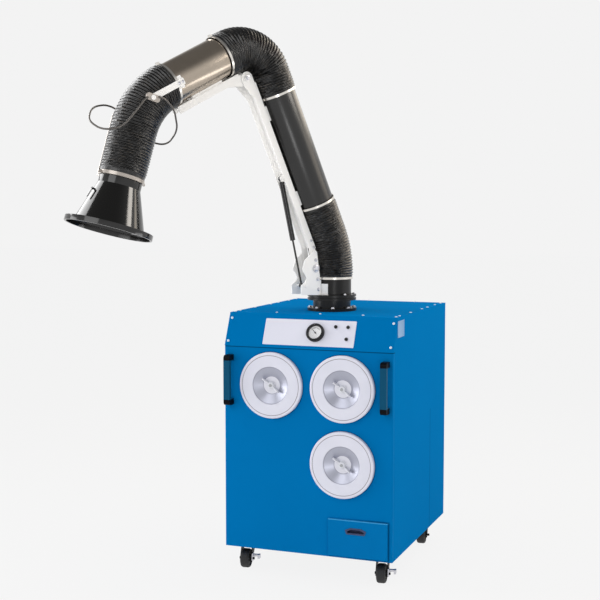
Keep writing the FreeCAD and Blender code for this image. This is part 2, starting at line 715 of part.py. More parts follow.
def control_plate():
    sheet = plate([(-PLATE_HALF_WIDTH, PLATE_LOW), (PLATE_HALF_WIDTH, PLATE_LOW), (PLATE_HALF_WIDTH, PLATE_HIGH),
                   (-PLATE_HALF_WIDTH, PLATE_HIGH)], PLATE_THICKNESS, [3, 3, 3, 3])
    for x, up in BUTTON_PLACES:
        sheet = sheet.fuse(rod(BUSHING_RADIUS, (x, up, 0), (x, up, PLATE_THICKNESS + BUSHING_PROUD)))
    holes = [rod(BUTTON_RADIUS + RUNNING_GAP, (x, up, -1), (x, up, 20)) for x, up in BUTTON_PLACES]
    holes.append(rod(GAUGE_BODY + REST_GAP, (GAUGE_X, GAUGE_UP, -1), (GAUGE_X, GAUGE_UP, 20)))
    return on_slant(sheet.removeSplitter().cut(holes))


def gauge_case():
    """Cup of the gauge with its bezel, its dial floor and the needle's post."""
    low = PLATE_THICKNESS
    profile = [
        (0, low - GAUGE_DEPTH), (GAUGE_BODY, low - GAUGE_DEPTH), (GAUGE_BODY, low), (GAUGE_RADIUS, low),
        (GAUGE_RADIUS, low + GAUGE_PROUD - 4), (GAUGE_RADIUS - 4, low + GAUGE_PROUD),
        (GAUGE_FACE, low + GAUGE_PROUD), (GAUGE_FACE, low + LENS_LEVEL + LENS_THICKNESS),
        (GAUGE_FACE + LENS_SEAT, low + LENS_LEVEL + LENS_THICKNESS), (GAUGE_FACE + LENS_SEAT, low + LENS_LEVEL),
        (GAUGE_FACE, low + LENS_LEVEL), (GAUGE_FACE, low + DIAL_LEVEL), (1.5, low + DIAL_LEVEL),
        (1.5, low + DIAL_LEVEL + 3.5), (0, low + DIAL_LEVEL + 3.5),
    ]
    return on_slant(turned(profile, (GAUGE_X, GAUGE_UP, 0)))


def gauge_lens():
    low = PLATE_THICKNESS + LENS_LEVEL
    return on_slant(rod(GAUGE_FACE + LENS_SEAT - REST_GAP, (GAUGE_X, GAUGE_UP, low), (GAUGE_X, GAUGE_UP, low + LENS_THICKNESS)))


def gauge_needle():
    """Thin pointer with a hub on the post, pointing at the scale's zero."""
    low = PLATE_THICKNESS + DIAL_LEVEL + REST_GAP + 1
    needle = plate([(-7, -1.2), (0, -1.4), (NEEDLE_LENGTH, -0.4), (NEEDLE_LENGTH, 0.4), (0, 1.4), (-7, 1.2)], 0.8)
    needle = needle.fuse(rod(3.2, (0, 0, 0), (0, 0, 1.6)))
    needle = needle.cut(rod(1.5 + RUNNING_GAP, (0, 0, -1), (0, 0, 3)))
    needle.Placement = FreeCAD.Placement(V(GAUGE_X, GAUGE_UP, low), FreeCAD.Rotation(Z_AXIS, NEEDLE_REST))
    return on_slant(needle)


def push_button(place):
    x, up = place
    top = PLATE_THICKNESS + BUTTON_PROUD
    button = turned([(0, -BUTTON_STEM), (BUTTON_RADIUS, -BUTTON_STEM), (BUTTON_RADIUS, top - 1.5),
                     (BUTTON_RADIUS - 1.5, top), (0, top)], (x, up, 0))
    return on_slant(button)


# Fan bay

def scroll_outlet():
    """Low and high edges of the scroll's outlet."""
    low = FAN_Z - SCROLL_START - 4 * SCROLL_STEP
    return low, FAN_Z - SCROLL_START / 2


def scroll_block(shrink, depth):
    """Spiral block of four quarter turns with its outlet duct, drawn in by a wall."""
    step = SCROLL_STEP
    first = SCROLL_START - shrink
    edges = []
    for quarter, (across, up) in enumerate(((0, 0), (0, -step), (step, -step), (step, 0))):
        edges.append(Part.makeCircle(first + step * quarter, V(across, up, 0), Z_AXIS, 90 * quarter, 90 * (quarter + 1)))
    edges.append(Part.makeLine(V(first + 4 * step, 0, 0), V(first, 0, 0)))
    spiral = Part.Face(Part.Wire(edges)).extrude(V(0, 0, depth))
    spiral.rotate(V(0, 0, 0), Z_AXIS, -90)
    low, high = scroll_outlet()
    duct = box((-SIDE_X + SHEET - FAN_X, low + shrink - FAN_Z, 0), (0, high - shrink - FAN_Z, depth))
    return fused(spiral.mirror(V(0, 0, 0), X_AXIS), duct)


def fan_housing():
    """Sheet scroll on the tube sheet: inlet eye behind, motor hole in front, outlet to the louvres."""
    wall = SHEET
    shell = scroll_block(0, SCROLL_DEPTH)
    hollow = scroll_block(wall, SCROLL_DEPTH - 2 * wall)
    hollow.translate(V(0, 0, wall))
    shell = shell.cut(hollow)
    shell = shell.cut(rod(FAN_EYE, (0, 0, -1), (0, 0, wall + 1)))
    shell = shell.cut(rod(SHAFT_RADIUS + 4, (0, 0, SCROLL_DEPTH - wall - 1), (0, 0, SCROLL_DEPTH + 1)))
    turned_in = facing(shell, TUBE_SHEET_Y)
    turned_in.translate(V(FAN_X, 0, FAN_Z))
    return turned_in


def fan_motor():
    """Face-mounted motor with end bell, terminal box and shaft."""
    face_y = TUBE_SHEET_Y - SCROLL_DEPTH
    body = turned([(0, 0), (MOTOR_RADIUS, 0), (MOTOR_RADIUS, MOTOR_FOOT), (MOTOR_RADIUS - 8, MOTOR_FOOT + 6),
                   (MOTOR_RADIUS - 8, MOTOR_LENGTH - 36), (MOTOR_RADIUS - 14, MOTOR_LENGTH - 30),
                   (MOTOR_RADIUS - 14, MOTOR_LENGTH - 8), (MOTOR_RADIUS - 22, MOTOR_LENGTH), (0, MOTOR_LENGTH)],
                  (FAN_X, face_y, FAN_Z), -Y_AXIS)
    terminals = box((FAN_X - 45, face_y - MOTOR_LENGTH * 0.7, FAN_Z + MOTOR_RADIUS - 30),
                    (FAN_X + 45, face_y - MOTOR_LENGTH * 0.25, FAN_Z + MOTOR_RADIUS + 32))
    shaft = rod(SHAFT_RADIUS, (FAN_X, face_y, FAN_Z), (FAN_X, face_y + SCROLL_DEPTH * 0.8, FAN_Z))
    return fused(body, terminals, shaft)


def fan_wheel():
    """Backward-curved wheel: back plate with hub, blades, and an inlet shroud."""
    back = 12.0
    shroud = turned([(FAN_EYE - 6, FAN_WIDTH), (FAN_EYE - 4, FAN_WIDTH + 4), (FAN_EYE + 6, FAN_WIDTH - 8),
                     (FAN_RADIUS, FAN_WIDTH - 16), (FAN_RADIUS, FAN_WIDTH - 19), (FAN_EYE + 4, FAN_WIDTH - 11)])
    wheel = turned([(SHAFT_RADIUS + RUNNING_GAP, 0), (FAN_RADIUS, 0), (FAN_RADIUS, BLADE), (FAN_HUB, BLADE),
                    (FAN_HUB, back * 2), (SHAFT_RADIUS + RUNNING_GAP, back * 2)])
    inner = V(FAN_EYE * 0.75, 0, 0)
    outer = V(FAN_RADIUS * 0.88, -FAN_RADIUS * 0.45, 0)
    bow = (inner + outer) * 0.5 + V(3, 8, 0)
    blade_line = Part.Arc(inner, bow, outer).toShape()
    blade = blade_line.extrude(V(0, 0, FAN_WIDTH - 14)).makeOffsetShape(BLADE, 0.01, fill=True)
    blade.translate(V(0, 0, BLADE * 0.5))
    trim = turned([(0, 0), (FAN_RADIUS, 0), (FAN_RADIUS, FAN_WIDTH - 17), (FAN_EYE + 5, FAN_WIDTH - 9.5),
                   (0, FAN_WIDTH - 9.5)])
    blade = blade.common(trim)
    blades = []
    for i in range(FAN_BLADES):
        turn = blade.copy()
        turn.rotate(V(0, 0, 0), Z_AXIS, i * 360 / FAN_BLADES)
        blades.append(turn)
    wheel = wheel.fuse(blades + [shroud])
    face_y = TUBE_SHEET_Y - SCROLL_DEPTH + back
    wheel.Placement = FreeCAD.Placement(V(FAN_X, face_y, FAN_Z), FreeCAD.Rotation(X_AXIS, -90))
    return wheel


def cable_gland():
    """Gland in the back panel, with a hexagon nut and a dome."""
    inside = BACK_Y - SHEET
    gland = turned([(GLAND_BORE, -10), (GLAND_RADIUS * 0.8, -10), (GLAND_RADIUS * 0.8, SHEET), (GLAND_RADIUS, SHEET),
                    (GLAND_RADIUS, SHEET + 8), (GLAND_RADIUS * 0.85, SHEET + 8),
                    (GLAND_RADIUS * 0.8, SHEET + GLAND_PROUD - 6), (GLAND_BORE + 2, SHEET + GLAND_PROUD),
                    (GLAND_BORE, SHEET + GLAND_PROUD)], (GLAND_X, inside, GLAND_Z), Y_AXIS)
    return gland


# Casters: swivel axis on Z, wheel trailing toward -Y, axle along X

def caster_plates():
    plates = []
    half_x = CASTER_PLATE_WIDTH / 2
    half_y = CASTER_PLATE_LENGTH / 2
    low = CASTER_HEIGHT - CASTER_PLATE
    pin_low = fork_top() - FORK_SHEET - 3
    for x, y in CASTERS.values():
        top = plate([(x - half_x, y - half_y), (x + half_x, y - half_y), (x + half_x, y + half_y),
                     (x - half_x, y + half_y)], CASTER_PLATE, [8, 8, 8, 8])
        top.translate(V(0, 0, low))
        plates.append(fused(top, rod(KING_PIN, (x, y, pin_low), (x, y, low + 1))))
    return group(plates)


def fork_top():
    """Level of the fork's crown."""
    return 2 * WHEEL_RADIUS + MOVING_GAP + FORK_SHEET + 3


def caster_fork(place):
    """Crown with ball race, two legs and the axle."""
    top = fork_top()
    seat = CASTER_HEIGHT - CASTER_PLATE - REST_GAP
    wide = FORK_GAP + FORK_SHEET
    crown = box((-wide, -FORK_GAP, top - FORK_SHEET), (wide, FORK_GAP, top))
    race = turned([(0, top), (wide, top), (FORK_GAP, seat), (0, seat)])
    leg = plate([(FORK_GAP, top), (-FORK_GAP, top), (-CASTER_TRAIL - 13, WHEEL_RADIUS - 1),
                 (-CASTER_TRAIL - 6, WHEEL_RADIUS - 13), (-CASTER_TRAIL + 8, WHEEL_RADIUS - 13)],
                FORK_SHEET, [0, 0, 7, 7, 7])
    legs = [upright(leg.copy(), side) for side in (-wide, FORK_GAP)]
    axle = rod(AXLE_RADIUS, (-wide - 4, -CASTER_TRAIL, WHEEL_RADIUS), (wide + 10, -CASTER_TRAIL, WHEEL_RADIUS))
    fork = fused(crown, race, *legs, axle)
    fork = fork.cut(rod(KING_PIN + RUNNING_GAP, (0, 0, top - FORK_SHEET - 1), (0, 0, seat + 1)))
    return at_caster(fork, place)


def caster_wheel(place):
    """Moulded wheel with a rounded tread and sunk hub faces."""
    half = WHEEL_WIDTH / 2
    bore = AXLE_RADIUS + RUNNING_GAP
    wheel = turned([
        (bore, -half - 1), (WHEEL_HUB, -half - 1), (WHEEL_HUB + 1, -half + 5), (WHEEL_RADIUS - 12, -half + 5),
        (WHEEL_RADIUS - 8, -half), (WHEEL_RADIUS - 3, -half + 2), (WHEEL_RADIUS, -half + 8),
        (WHEEL_RADIUS, half - 8), (WHEEL_RADIUS - 3, half - 2), (WHEEL_RADIUS - 8, half),
        (WHEEL_RADIUS - 12, half - 5), (WHEEL_HUB + 1, half - 5), (WHEEL_HUB, half + 1), (bore, half + 1)],
        (0, -CASTER_TRAIL, WHEEL_RADIUS), X_AXIS)
    return at_caster(wheel, place)


def brake_lever(place):
    """Side brake: an eye on the axle's end with a cranked foot pedal."""
    near = FORK_GAP + FORK_SHEET + REST_GAP
    eye = plate([(-12, -12), (12, -12), (20, 12), (12, 22), (-6, 22)], LEVER_SHEET, [8, 8, 5, 5, 5])
    eye = upright(eye, near)
    pedal = box((near, 6, 6), (near + LEVER_REACH, 20, 6 + PEDAL_HEIGHT))
    tip = box((near + LEVER_REACH - PEDAL_HEIGHT, 2, 6 - PEDAL_HEIGHT), (near + LEVER_REACH, 24, 6 + PEDAL_HEIGHT))
    lever = fused(eye, pedal, tip).cut(rod(AXLE_RADIUS + RUNNING_GAP, (near - 1, 0, 0), (near + 8, 0, 0)))
    lever.translate(V(0, -CASTER_TRAIL, WHEEL_RADIUS))
    return at_caster(lever, place)


# Arm geometry in its own plane: bend points, directions and pivots as (reach, height)

def ahead(point, direction, along, across=0.0):
    """Point a distance along a direction and across it, to the direction's right in the plane."""
    return (point[0] + direction[0] * along + direction[1] * across,
            point[1] + direction[1] * along - direction[0] * across)


LOWER_DIR = (math.sin(math.radians(LOWER_TILT)), math.cos(math.radians(LOWER_TILT)))
UPPER_DIR = (math.cos(math.radians(UPPER_DROP)), -math.sin(math.radians(UPPER_DROP)))
HOOD_DIR = (math.sin(math.radians(HOOD_TILT)), -math.cos(math.radians(HOOD_TILT)))
BASE_BEND = (0.0, TOP_Z + BASE_BEND_HEIGHT)
ELBOW_BEND = ahead(BASE_BEND, LOWER_DIR, LOWER_LENGTH)
HOOD_BEND = ahead(ELBOW_BEND, UPPER_DIR, UPPER_LENGTH)
ELBOW_TURN = math.radians(90 - LOWER_TILT + UPPER_DROP)
ELBOW_BACK = ELBOW_OFFSET * math.tan(ELBOW_TURN / 2)
SHOULDER = ahead(BASE_BEND, LOWER_DIR, -SHOULDER_BACK, SHOULDER_OFFSET)
ELBOW = ahead(ELBOW_BEND, LOWER_DIR, -ELBOW_BACK, ELBOW_OFFSET)
SPRING_TOP = ahead(BASE_BEND, LOWER_DIR, SPRING_TOP_ALONG, SPRING_TOP_OFFSET)
SPRING_FOOT = (SPRING_FOOT_REACH, TOP_Z + SPRING_FOOT_HEIGHT)
HOSE_BORE = DUCT_RADIUS + REST_GAP
BAND_INNER = HOSE_ROOT + REST_GAP


def in_plane(point, side=0.0):
    """Point of the arm's plane as a vector, with its sideways place."""
    return V(point[0], side, point[1])


def along_axis(shape, start, direction):
    """Set a shape drawn up the Z axis onto an axis of the arm's plane."""
    base = FreeCAD.Placement(in_plane(start), FreeCAD.Rotation(
        V(-direction[1], 0, direction[0]) * -1, V(0, 1, 0), V(direction[0], 0, direction[1]), "ZYX"))
    shape.Placement = base.multiply(shape.Placement)
    return shape


def in_link_axes(corners, start, direction, thickness, side, radii=None):
    """Plate in the arm's plane drawn as (along, across) corners from a start, centred on its sideways place."""
    points = [ahead(start, direction, along, across) for along, across in corners]
    sheet = plate(points, thickness, radii)
    sheet.Placement = FreeCAD.Placement(V(0, side + thickness / 2, 0), FreeCAD.Rotation(X_AXIS, 90))
    return sheet


def pivot_pin(point, radius, half, head_radius, head):
    """Pin across the arm with a head at each end."""
    pin = rod(radius, in_plane(point, -half - head), in_plane(point, half + head))
    for low, high in ((-half - head, -half), (half, half + head)):
        pin = pin.fuse(rod(head_radius, in_plane(point, low), in_plane(point, high)))
    return pin.removeSplitter()


def swivel_base():
    """Flanged neck bolted on the cabinet, with the spigot that the collar turns on."""
    shoulder = TOP_Z + BASE_NECK_HEIGHT
    bore = SPIGOT_RADIUS - 5
    base = turned([(bore, TOP_Z), (BASE_FLANGE_RADIUS, TOP_Z), (BASE_FLANGE_RADIUS, TOP_Z + BASE_FLANGE),
                   (BASE_NECK_RADIUS, TOP_Z + BASE_FLANGE), (BASE_NECK_RADIUS, shoulder),
                   (SPIGOT_RADIUS - RUNNING_GAP, shoulder), (SPIGOT_RADIUS - RUNNING_GAP, shoulder + SPIGOT_HEIGHT),
                   (bore, shoulder + SPIGOT_HEIGHT)])
    return on_arm(base)


def swivel_collar():
    """Collar with a grooved flange that turns on the base and holds the first hose."""
    low = TOP_Z + BASE_NECK_HEIGHT + REST_GAP
    high = low + COLLAR_FLANGE
    third = (COLLAR_FLANGE - COLLAR_GROOVE) / 2
    top = TOP_Z + BASE_HOSE_START + TUBE_TUCK
    collar = turned([(SPIGOT_RADIUS, low), (COLLAR_FLANGE_RADIUS, low), (COLLAR_FLANGE_RADIUS, low + third),
                     (COLLAR_FLANGE_RADIUS - 8, low + third), (COLLAR_FLANGE_RADIUS - 8, high - third),
                     (COLLAR_FLANGE_RADIUS, high - third), (COLLAR_FLANGE_RADIUS, high), (DUCT_RADIUS, high),
                     (DUCT_RADIUS, top), (SPIGOT_RADIUS, top)])
    return on_arm(collar)


def shoulder_bracket():
    """Two hooked cheeks on a saddle round the collar, with the shoulder pin and the spring's foot pin."""
    low = TOP_Z + BASE_NECK_HEIGHT + REST_GAP + COLLAR_FLANGE + REST_GAP
    web = DUCT_RADIUS + REST_GAP
    hose_low = TOP_Z + BASE_HOSE_START - REST_GAP
    hose_side = HOSE_CREST + LINK_HOSE_GAP
    top = SHOULDER[1] + BRACKET_RISE
    foot = SPRING_FOOT
    cheek = [(web, low), (foot[0] + 24, low + 4), (foot[0] + 26, foot[1] + 2), (foot[0] + 6, foot[1] + 16),
             (foot[0] - 2, SHOULDER[1] - 38), (foot[0] + 20, SHOULDER[1] - 4), (foot[0] + 8, SHOULDER[1] + 34),
             (SHOULDER[0] + 26, SHOULDER[1] + 58), (SHOULDER[0] + 8, top), (SHOULDER[0] - 4, top - 12),
             (hose_side - 3, hose_low + 20), (hose_side - 3, hose_low), (web, hose_low)]
    radii = [2, 6, 6, 8, 10, 16, 24, 14, 5, 5, 10, 0, 0]
    sheet = plate(cheek, BRACKET_SHEET, radii)
    cheeks = []
    for side in (-BRACKET_HALF_WIDTH, BRACKET_HALF_WIDTH - BRACKET_SHEET):
        one = sheet.copy()
        one.Placement = FreeCAD.Placement(V(0, side + BRACKET_SHEET, 0), FreeCAD.Rotation(X_AXIS, 90))
        cheeks.append(one)
    back = box((web, -BRACKET_HALF_WIDTH, low), (web + BRACKET_SHEET, BRACKET_HALF_WIDTH, hose_low))
    saddle = pipe(web + BRACKET_SHEET, web, (0, 0, low), (0, 0, low + SADDLE_HEIGHT))
    saddle = saddle.common(box((web * math.cos(math.radians(SADDLE_WRAP)), -web - 10, low),
                               (web + 10, web + 10, low + SADDLE_HEIGHT)))
    frame = fused(cheeks[0], cheeks[1], back, saddle)
    pins = [pivot_pin(SHOULDER, PIN_RADIUS, BRACKET_HALF_WIDTH, PIN_HEAD_RADIUS, PIN_HEAD),
            pivot_pin(SPRING_FOOT, SPRING_PIN, BRACKET_HALF_WIDTH, SPRING_PIN * 1.8, SPRING_PIN)]
    return on_arm(fused(frame, *pins))


def hose_band(length_from, centre, direction):
    """Clamp band round a hose end, with its screw housing on the outer side."""
    outer = BAND_INNER + BAND_THICKNESS
    band = pipe(outer, BAND_INNER, (0, 0, 0), (0, 0, BAND_WIDTH))
    screw = box((-outer - BAND_SCREW * 0.7, -BAND_SCREW, 0), (-outer + BAND_THICKNESS * 0.5, BAND_SCREW, BAND_WIDTH))
    band = fused(band, screw)
    return along_axis(band, ahead(centre, direction, length_from), direction)


def base_band():
    return on_arm(hose_band(TOP_Z + BASE_HOSE_START + 1, (0.0, 0.0), (0.0, 1.0)))


def duct(start, end, centre, direction):
    """Arm tube between two places along its axis."""
    tube = pipe(DUCT_RADIUS, DUCT_RADIUS - DUCT_WALL, (0, 0, 0), (0, 0, end - start))
    return along_axis(tube, ahead(centre, direction, start), direction)


def lower_tube():
    return on_arm(duct(LOWER_TUBE_START - TUBE_TUCK, LOWER_TUBE_END + TUBE_TUCK, BASE_BEND, LOWER_DIR))


def upper_tube():
    return on_arm(duct(UPPER_TUBE_START - TUBE_TUCK, UPPER_TUBE_END + TUBE_TUCK, ELBOW_BEND, UPPER_DIR))


def lower_bands():
    return on_arm(group([hose_band(LOWER_TUBE_START - BAND_WIDTH - 1, BASE_BEND, LOWER_DIR),
                         hose_band(LOWER_TUBE_END + 1, BASE_BEND, LOWER_DIR)]))


def upper_bands():
    return on_arm(group([hose_band(UPPER_TUBE_START - BAND_WIDTH - 1, ELBOW_BEND, UPPER_DIR),
                         hose_band(UPPER_TUBE_END + 1, ELBOW_BEND, UPPER_DIR)]))


def link_levels():
    """Offsets of a link's tube-side edge, its web and its far edge from the tube's axis."""
    side = LINK_HALF_WIDTH - LINK_SHEET
    edge = math.sqrt(HOSE_CREST ** 2 - side ** 2) + LINK_HOSE_GAP
    return edge, HOSE_CREST + LINK_HOSE_GAP, edge + LINK_DEPTH


def channel(start, direction, low, high, half):
    """Link channel along a tube, open on the side away from it: a web and two deep flanges."""
    edge, web, far = link_levels()
    flange = [(low, edge), (high, edge), (high, far), (low, far)]
    sides = [in_link_axes(flange, start, direction, LINK_SHEET, hand * (half - LINK_SHEET / 2)) for hand in (-1, 1)]
    floor = [(low, web), (high, web), (high, web + LINK_SHEET), (low, web + LINK_SHEET)]
    return fused(in_link_axes(floor, start, direction, 2 * half, 0), *sides)


def tube_saddle(start, direction, along, length, half):
    """Curved pad and block that tie a tube to its link's web."""
    seat = DUCT_RADIUS + REST_GAP
    edge, web, far = link_levels()
    pad = pipe(seat + SADDLE_SHEET, seat, (0, 0, 0), (0, 0, length))
    pad = pad.common(box((0, -SADDLE_HALF, 0), (edge, SADDLE_HALF, length)))
    block = box((0, -half + LINK_SHEET, 0), (web, half - LINK_SHEET, length))
    block = block.cut(rod(seat, (0, 0, -1), (0, 0, length + 1)))
    return along_axis(fused(pad, block), ahead(start, direction, along), direction)


def ear(pivot, start, direction, reach, side, radius):
    """Ear plate that runs from a channel's flange to a round end on a pivot; reach is negative toward the start."""
    along, across = link_place(pivot, start, direction)
    edge, web, far = link_levels()
    hand = math.copysign(1.0, reach)
    back = along - hand * radius
    corners = [(along + reach, edge), (along + reach, far), (along + hand * radius, across + radius),
               (back, across + radius), (back, across - radius), (along + hand * radius, across - radius)]
    round_end = radius - RUNNING_GAP
    return in_link_axes(corners, start, direction, LINK_SHEET, side, [0, 0, round_end, round_end, round_end, radius])


def link_place(point, start, direction):
    """Place of a point as (along, across) from a tube's bend point."""
    dx = point[0] - start[0]
    dz = point[1] - start[1]
    return dx * direction[0] + dz * direction[1], dx * direction[1] - dz * direction[0]


def pin_hole(point, radius):
    """Hole across the arm for a pin that turns in it."""
    return rod(radius + RUNNING_GAP, in_plane(point, -ARM_HALF_SPAN), in_plane(point, ARM_HALF_SPAN))


def lower_link():
    """Lower link: channel with ears for the shoulder and elbow, tube saddles and the spring's lugs."""
    high = link_place(ELBOW, BASE_BEND, LOWER_DIR)[0] - ELBOW_EAR - LINK_SHEET
    body = channel(BASE_BEND, LOWER_DIR, LOWER_LINK_START, high, LINK_HALF_WIDTH)
    flange = LINK_HALF_WIDTH - LINK_SHEET / 2
    pieces = []
    for side in (-flange, flange):
        pieces.append(ear(SHOULDER, BASE_BEND, LOWER_DIR, EAR_TAPER, side, SHOULDER_EAR))
        pieces.append(ear(ELBOW, BASE_BEND, LOWER_DIR, -EAR_TAPER, side, ELBOW_EAR))
    for along in (LOWER_TUBE_START + SADDLE_INSET, LOWER_TUBE_END - SADDLE_INSET - SADDLE_LENGTH):
        pieces.append(tube_saddle(BASE_BEND, LOWER_DIR, along, SADDLE_LENGTH, LINK_HALF_WIDTH))
    web = link_levels()[1]
    lug_in = SPRING_EYE_WIDTH / 2 + 2 * EAR_GAP
    tip = SPRING_TOP_OFFSET + SPRING_EYE
    for hand in (-1, 1):
        pieces.append(in_link_axes(
            [(SPRING_TOP_ALONG - 2 * SPRING_EYE, web), (SPRING_TOP_ALONG + 2 * SPRING_EYE, web),
             (SPRING_TOP_ALONG + SPRING_EYE, tip), (SPRING_TOP_ALONG - SPRING_EYE, tip)],
            BASE_BEND, LOWER_DIR, LINK_SHEET, hand * (lug_in + LINK_SHEET / 2), [0, 0, SPRING_PIN, SPRING_PIN]))
    link = fused(body, *pieces).cut(pin_hole(SHOULDER, PIN_RADIUS))
    pin = pivot_pin(ELBOW, PIN_RADIUS, LINK_HALF_WIDTH, PIN_HEAD_RADIUS, PIN_HEAD)
    spring_pin = pivot_pin(SPRING_TOP, SPRING_PIN, lug_in + LINK_SHEET, SPRING_PIN * 1.6, SPRING_PIN * 0.7)
    return on_arm(fused(link, pin, spring_pin))


def upper_link():
    """Upper link: narrower channel under the upper tube whose elbow ears sit inside the lower link's."""
    half = LINK_HALF_WIDTH - LINK_SHEET - EAR_GAP
    low = link_place(ELBOW, ELBOW_BEND, UPPER_DIR)[0] + ELBOW_EAR + LINK_SHEET
    saddle = UPPER_TUBE_START + 2 * SADDLE_INSET
    saddle_end = UPPER_TUBE_END - FORK_RING - 2 * SADDLE_INSET
    pieces = [tube_saddle(ELBOW_BEND, UPPER_DIR, saddle, saddle_end - saddle, half)]
    for hand in (-1, 1):
        pieces.append(ear(ELBOW, ELBOW_BEND, UPPER_DIR, EAR_TAPER, hand * (half - LINK_SHEET / 2), INNER_EAR))
    body = channel(ELBOW_BEND, UPPER_DIR, low, UPPER_TUBE_END + UPPER_LINK_PAST, half)
    link = fused(body, *pieces).cut(pin_hole(ELBOW, PIN_RADIUS))
    return on_arm(link)


# Gas spring

def spring_piece(pivot, other, build):
    """Set a piece drawn up the Z axis from a pivot toward the other pivot."""
    reach = math.hypot(other[0] - pivot[0], other[1] - pivot[1])
    direction = ((other[0] - pivot[0]) / reach, (other[1] - pivot[1]) / reach)
    return along_axis(build(reach), pivot, direction)


def spring_eye():
    """Eye across the spring, drawn on its pivot."""
    half = SPRING_EYE_WIDTH / 2
    return rod(SPRING_EYE, (0, -half, 0), (0, half, 0))


def spring_eye_hole():
    return rod(SPRING_PIN + RUNNING_GAP, (0, -SPRING_EYE_WIDTH, 0), (0, SPRING_EYE_WIDTH, 0))


def gas_cylinder():
    def build(reach):
        end = reach * SPRING_SHARE
        body = rod(SPRING_RADIUS, (0, 0, SPRING_EYE + 4), (0, 0, end))
        stem = rod(SPRING_ROD, (0, 0, 0), (0, 0, SPRING_EYE + 5))
        bore = rod(SPRING_BORE, (0, 0, SPRING_EYE + 8), (0, 0, end + 1))
        return fused(body, stem, spring_eye()).cut([bore, spring_eye_hole()])
    return on_arm(spring_piece(SPRING_TOP, SPRING_FOOT, build))


def gas_rod():
    def build(reach):
        inside = reach * SPRING_SHARE * 0.45
        shank = rod(SPRING_ROD, (0, 0, 0), (0, 0, reach * (1 - SPRING_SHARE) + inside))
        return fused(shank, spring_eye()).cut(spring_eye_hole())
    return on_arm(spring_piece(SPRING_FOOT, SPRING_TOP, build))


# Ribbed hoses

def hose_path(start, bend, before, after, tangent):
    """Points, normals and length of a hose's centre line: straight, arc, straight."""
    lead = math.hypot(bend[0] - start[0], bend[1] - start[1]) - tangent
    cross = before[0] * after[1] - before[1] * after[0]
    turn = math.acos(max(-1.0, min(1.0, before[0] * after[0] + before[1] * after[1])))
    radius = tangent / math.tan(turn / 2)
    hand = 1.0 if cross > 0 else -1.0

    def at(length):
        if length <= lead:
            return ahead(start, before, length), before
        swept = (length - lead) / radius
        if swept >= turn:
            arc_end = ahead(bend, after, tangent)
            return ahead(arc_end, after, length - lead - turn * radius), after
        begin = ahead(start, before, lead)
        centre = ahead(begin, before, 0, -hand * radius)
        angle = math.atan2(begin[1] - centre[1], begin[0] - centre[0]) + hand * swept
        heading = math.atan2(before[1], before[0]) + hand * swept
        place = (centre[0] + radius * math.cos(angle), centre[1] + radius * math.sin(angle))
        return place, (math.cos(heading), math.sin(heading))

    return at, lead + turn * radius


def ring_wire(at, length, radius):
    """Circle across a hose at a length along it, with its start on the arm's sideways axis."""
    place, heading = at(length)
    circle = Part.Circle(in_plane(place), V(heading[0], 0, heading[1]), radius)
    circle.XAxis = V(0, 1, 0)
    return Part.Wire(circle.toShape())


def ribbed_hose(start, bend, before, after, tangent, tail):
    """Hose with trapezoid ribs over a smooth bore, from its start to a tail past the arc."""
    at, bent = hose_path(start, bend, before, after, tangent)
    total = bent + tail
    ribs = int((total - 2 * HOSE_CUFF) / HOSE_PITCH)
    pitch = (total - 2 * HOSE_CUFF) / ribs
    wires = [ring_wire(at, 0, HOSE_ROOT)]
    for i in range(ribs):
        foot = HOSE_CUFF + i * pitch
        for share, radius in ((0.0, HOSE_ROOT), (0.3, HOSE_CREST), (0.55, HOSE_CREST), (0.85, HOSE_ROOT)):
            wires.append(ring_wire(at, foot + share * pitch, radius))
    wires.append(ring_wire(at, total, HOSE_ROOT))
    outer = Part.makeLoft(wires, True, True)
    corner = ahead(start, before, math.hypot(bend[0] - start[0], bend[1] - start[1]) - tangent)
    middle = at((bent - math.hypot(corner[0] - start[0], corner[1] - start[1])) / 2
                + math.hypot(corner[0] - start[0], corner[1] - start[1]))[0]
    arc_end = ahead(bend, after, tangent)
    path = Part.Wire([Part.makeLine(in_plane(start), in_plane(corner)),
                      Part.Arc(in_plane(corner), in_plane(middle), in_plane(arc_end)).toShape(),
                      Part.makeLine(in_plane(arc_end), in_plane(ahead(arc_end, after, tail)))])
    bore = path.makePipeShell([ring_wire(at, 0, HOSE_BORE)], True, False)
    return outer.cut(bore)


def base_hose():
    start = (0.0, TOP_Z + BASE_HOSE_START)
    return on_arm(ribbed_hose(start, BASE_BEND, (0.0, 1.0), LOWER_DIR, BASE_HOSE_TANGENT,
                              BASE_HOSE_TAIL))


def elbow_hose():
    start = ahead(BASE_BEND, LOWER_DIR, LOWER_TUBE_END)
    return on_arm(ribbed_hose(start, ELBOW_BEND, LOWER_DIR, UPPER_DIR, ELBOW_HOSE_TANGENT,
                              ELBOW_HOSE_TAIL))


def hood_hose():
    start = ahead(ELBOW_BEND, UPPER_DIR, UPPER_TUBE_END)
    return on_arm(ribbed_hose(start, HOOD_BEND, UPPER_DIR, HOOD_DIR, HOOD_HOSE_TANGENT,
                              COLLAR_AT - HOOD_HOSE_TANGENT))


# Hood

def fork_side():
    """Sideways place of the fork bars' inner faces."""
    return HOSE_CREST + FORK_CLEAR


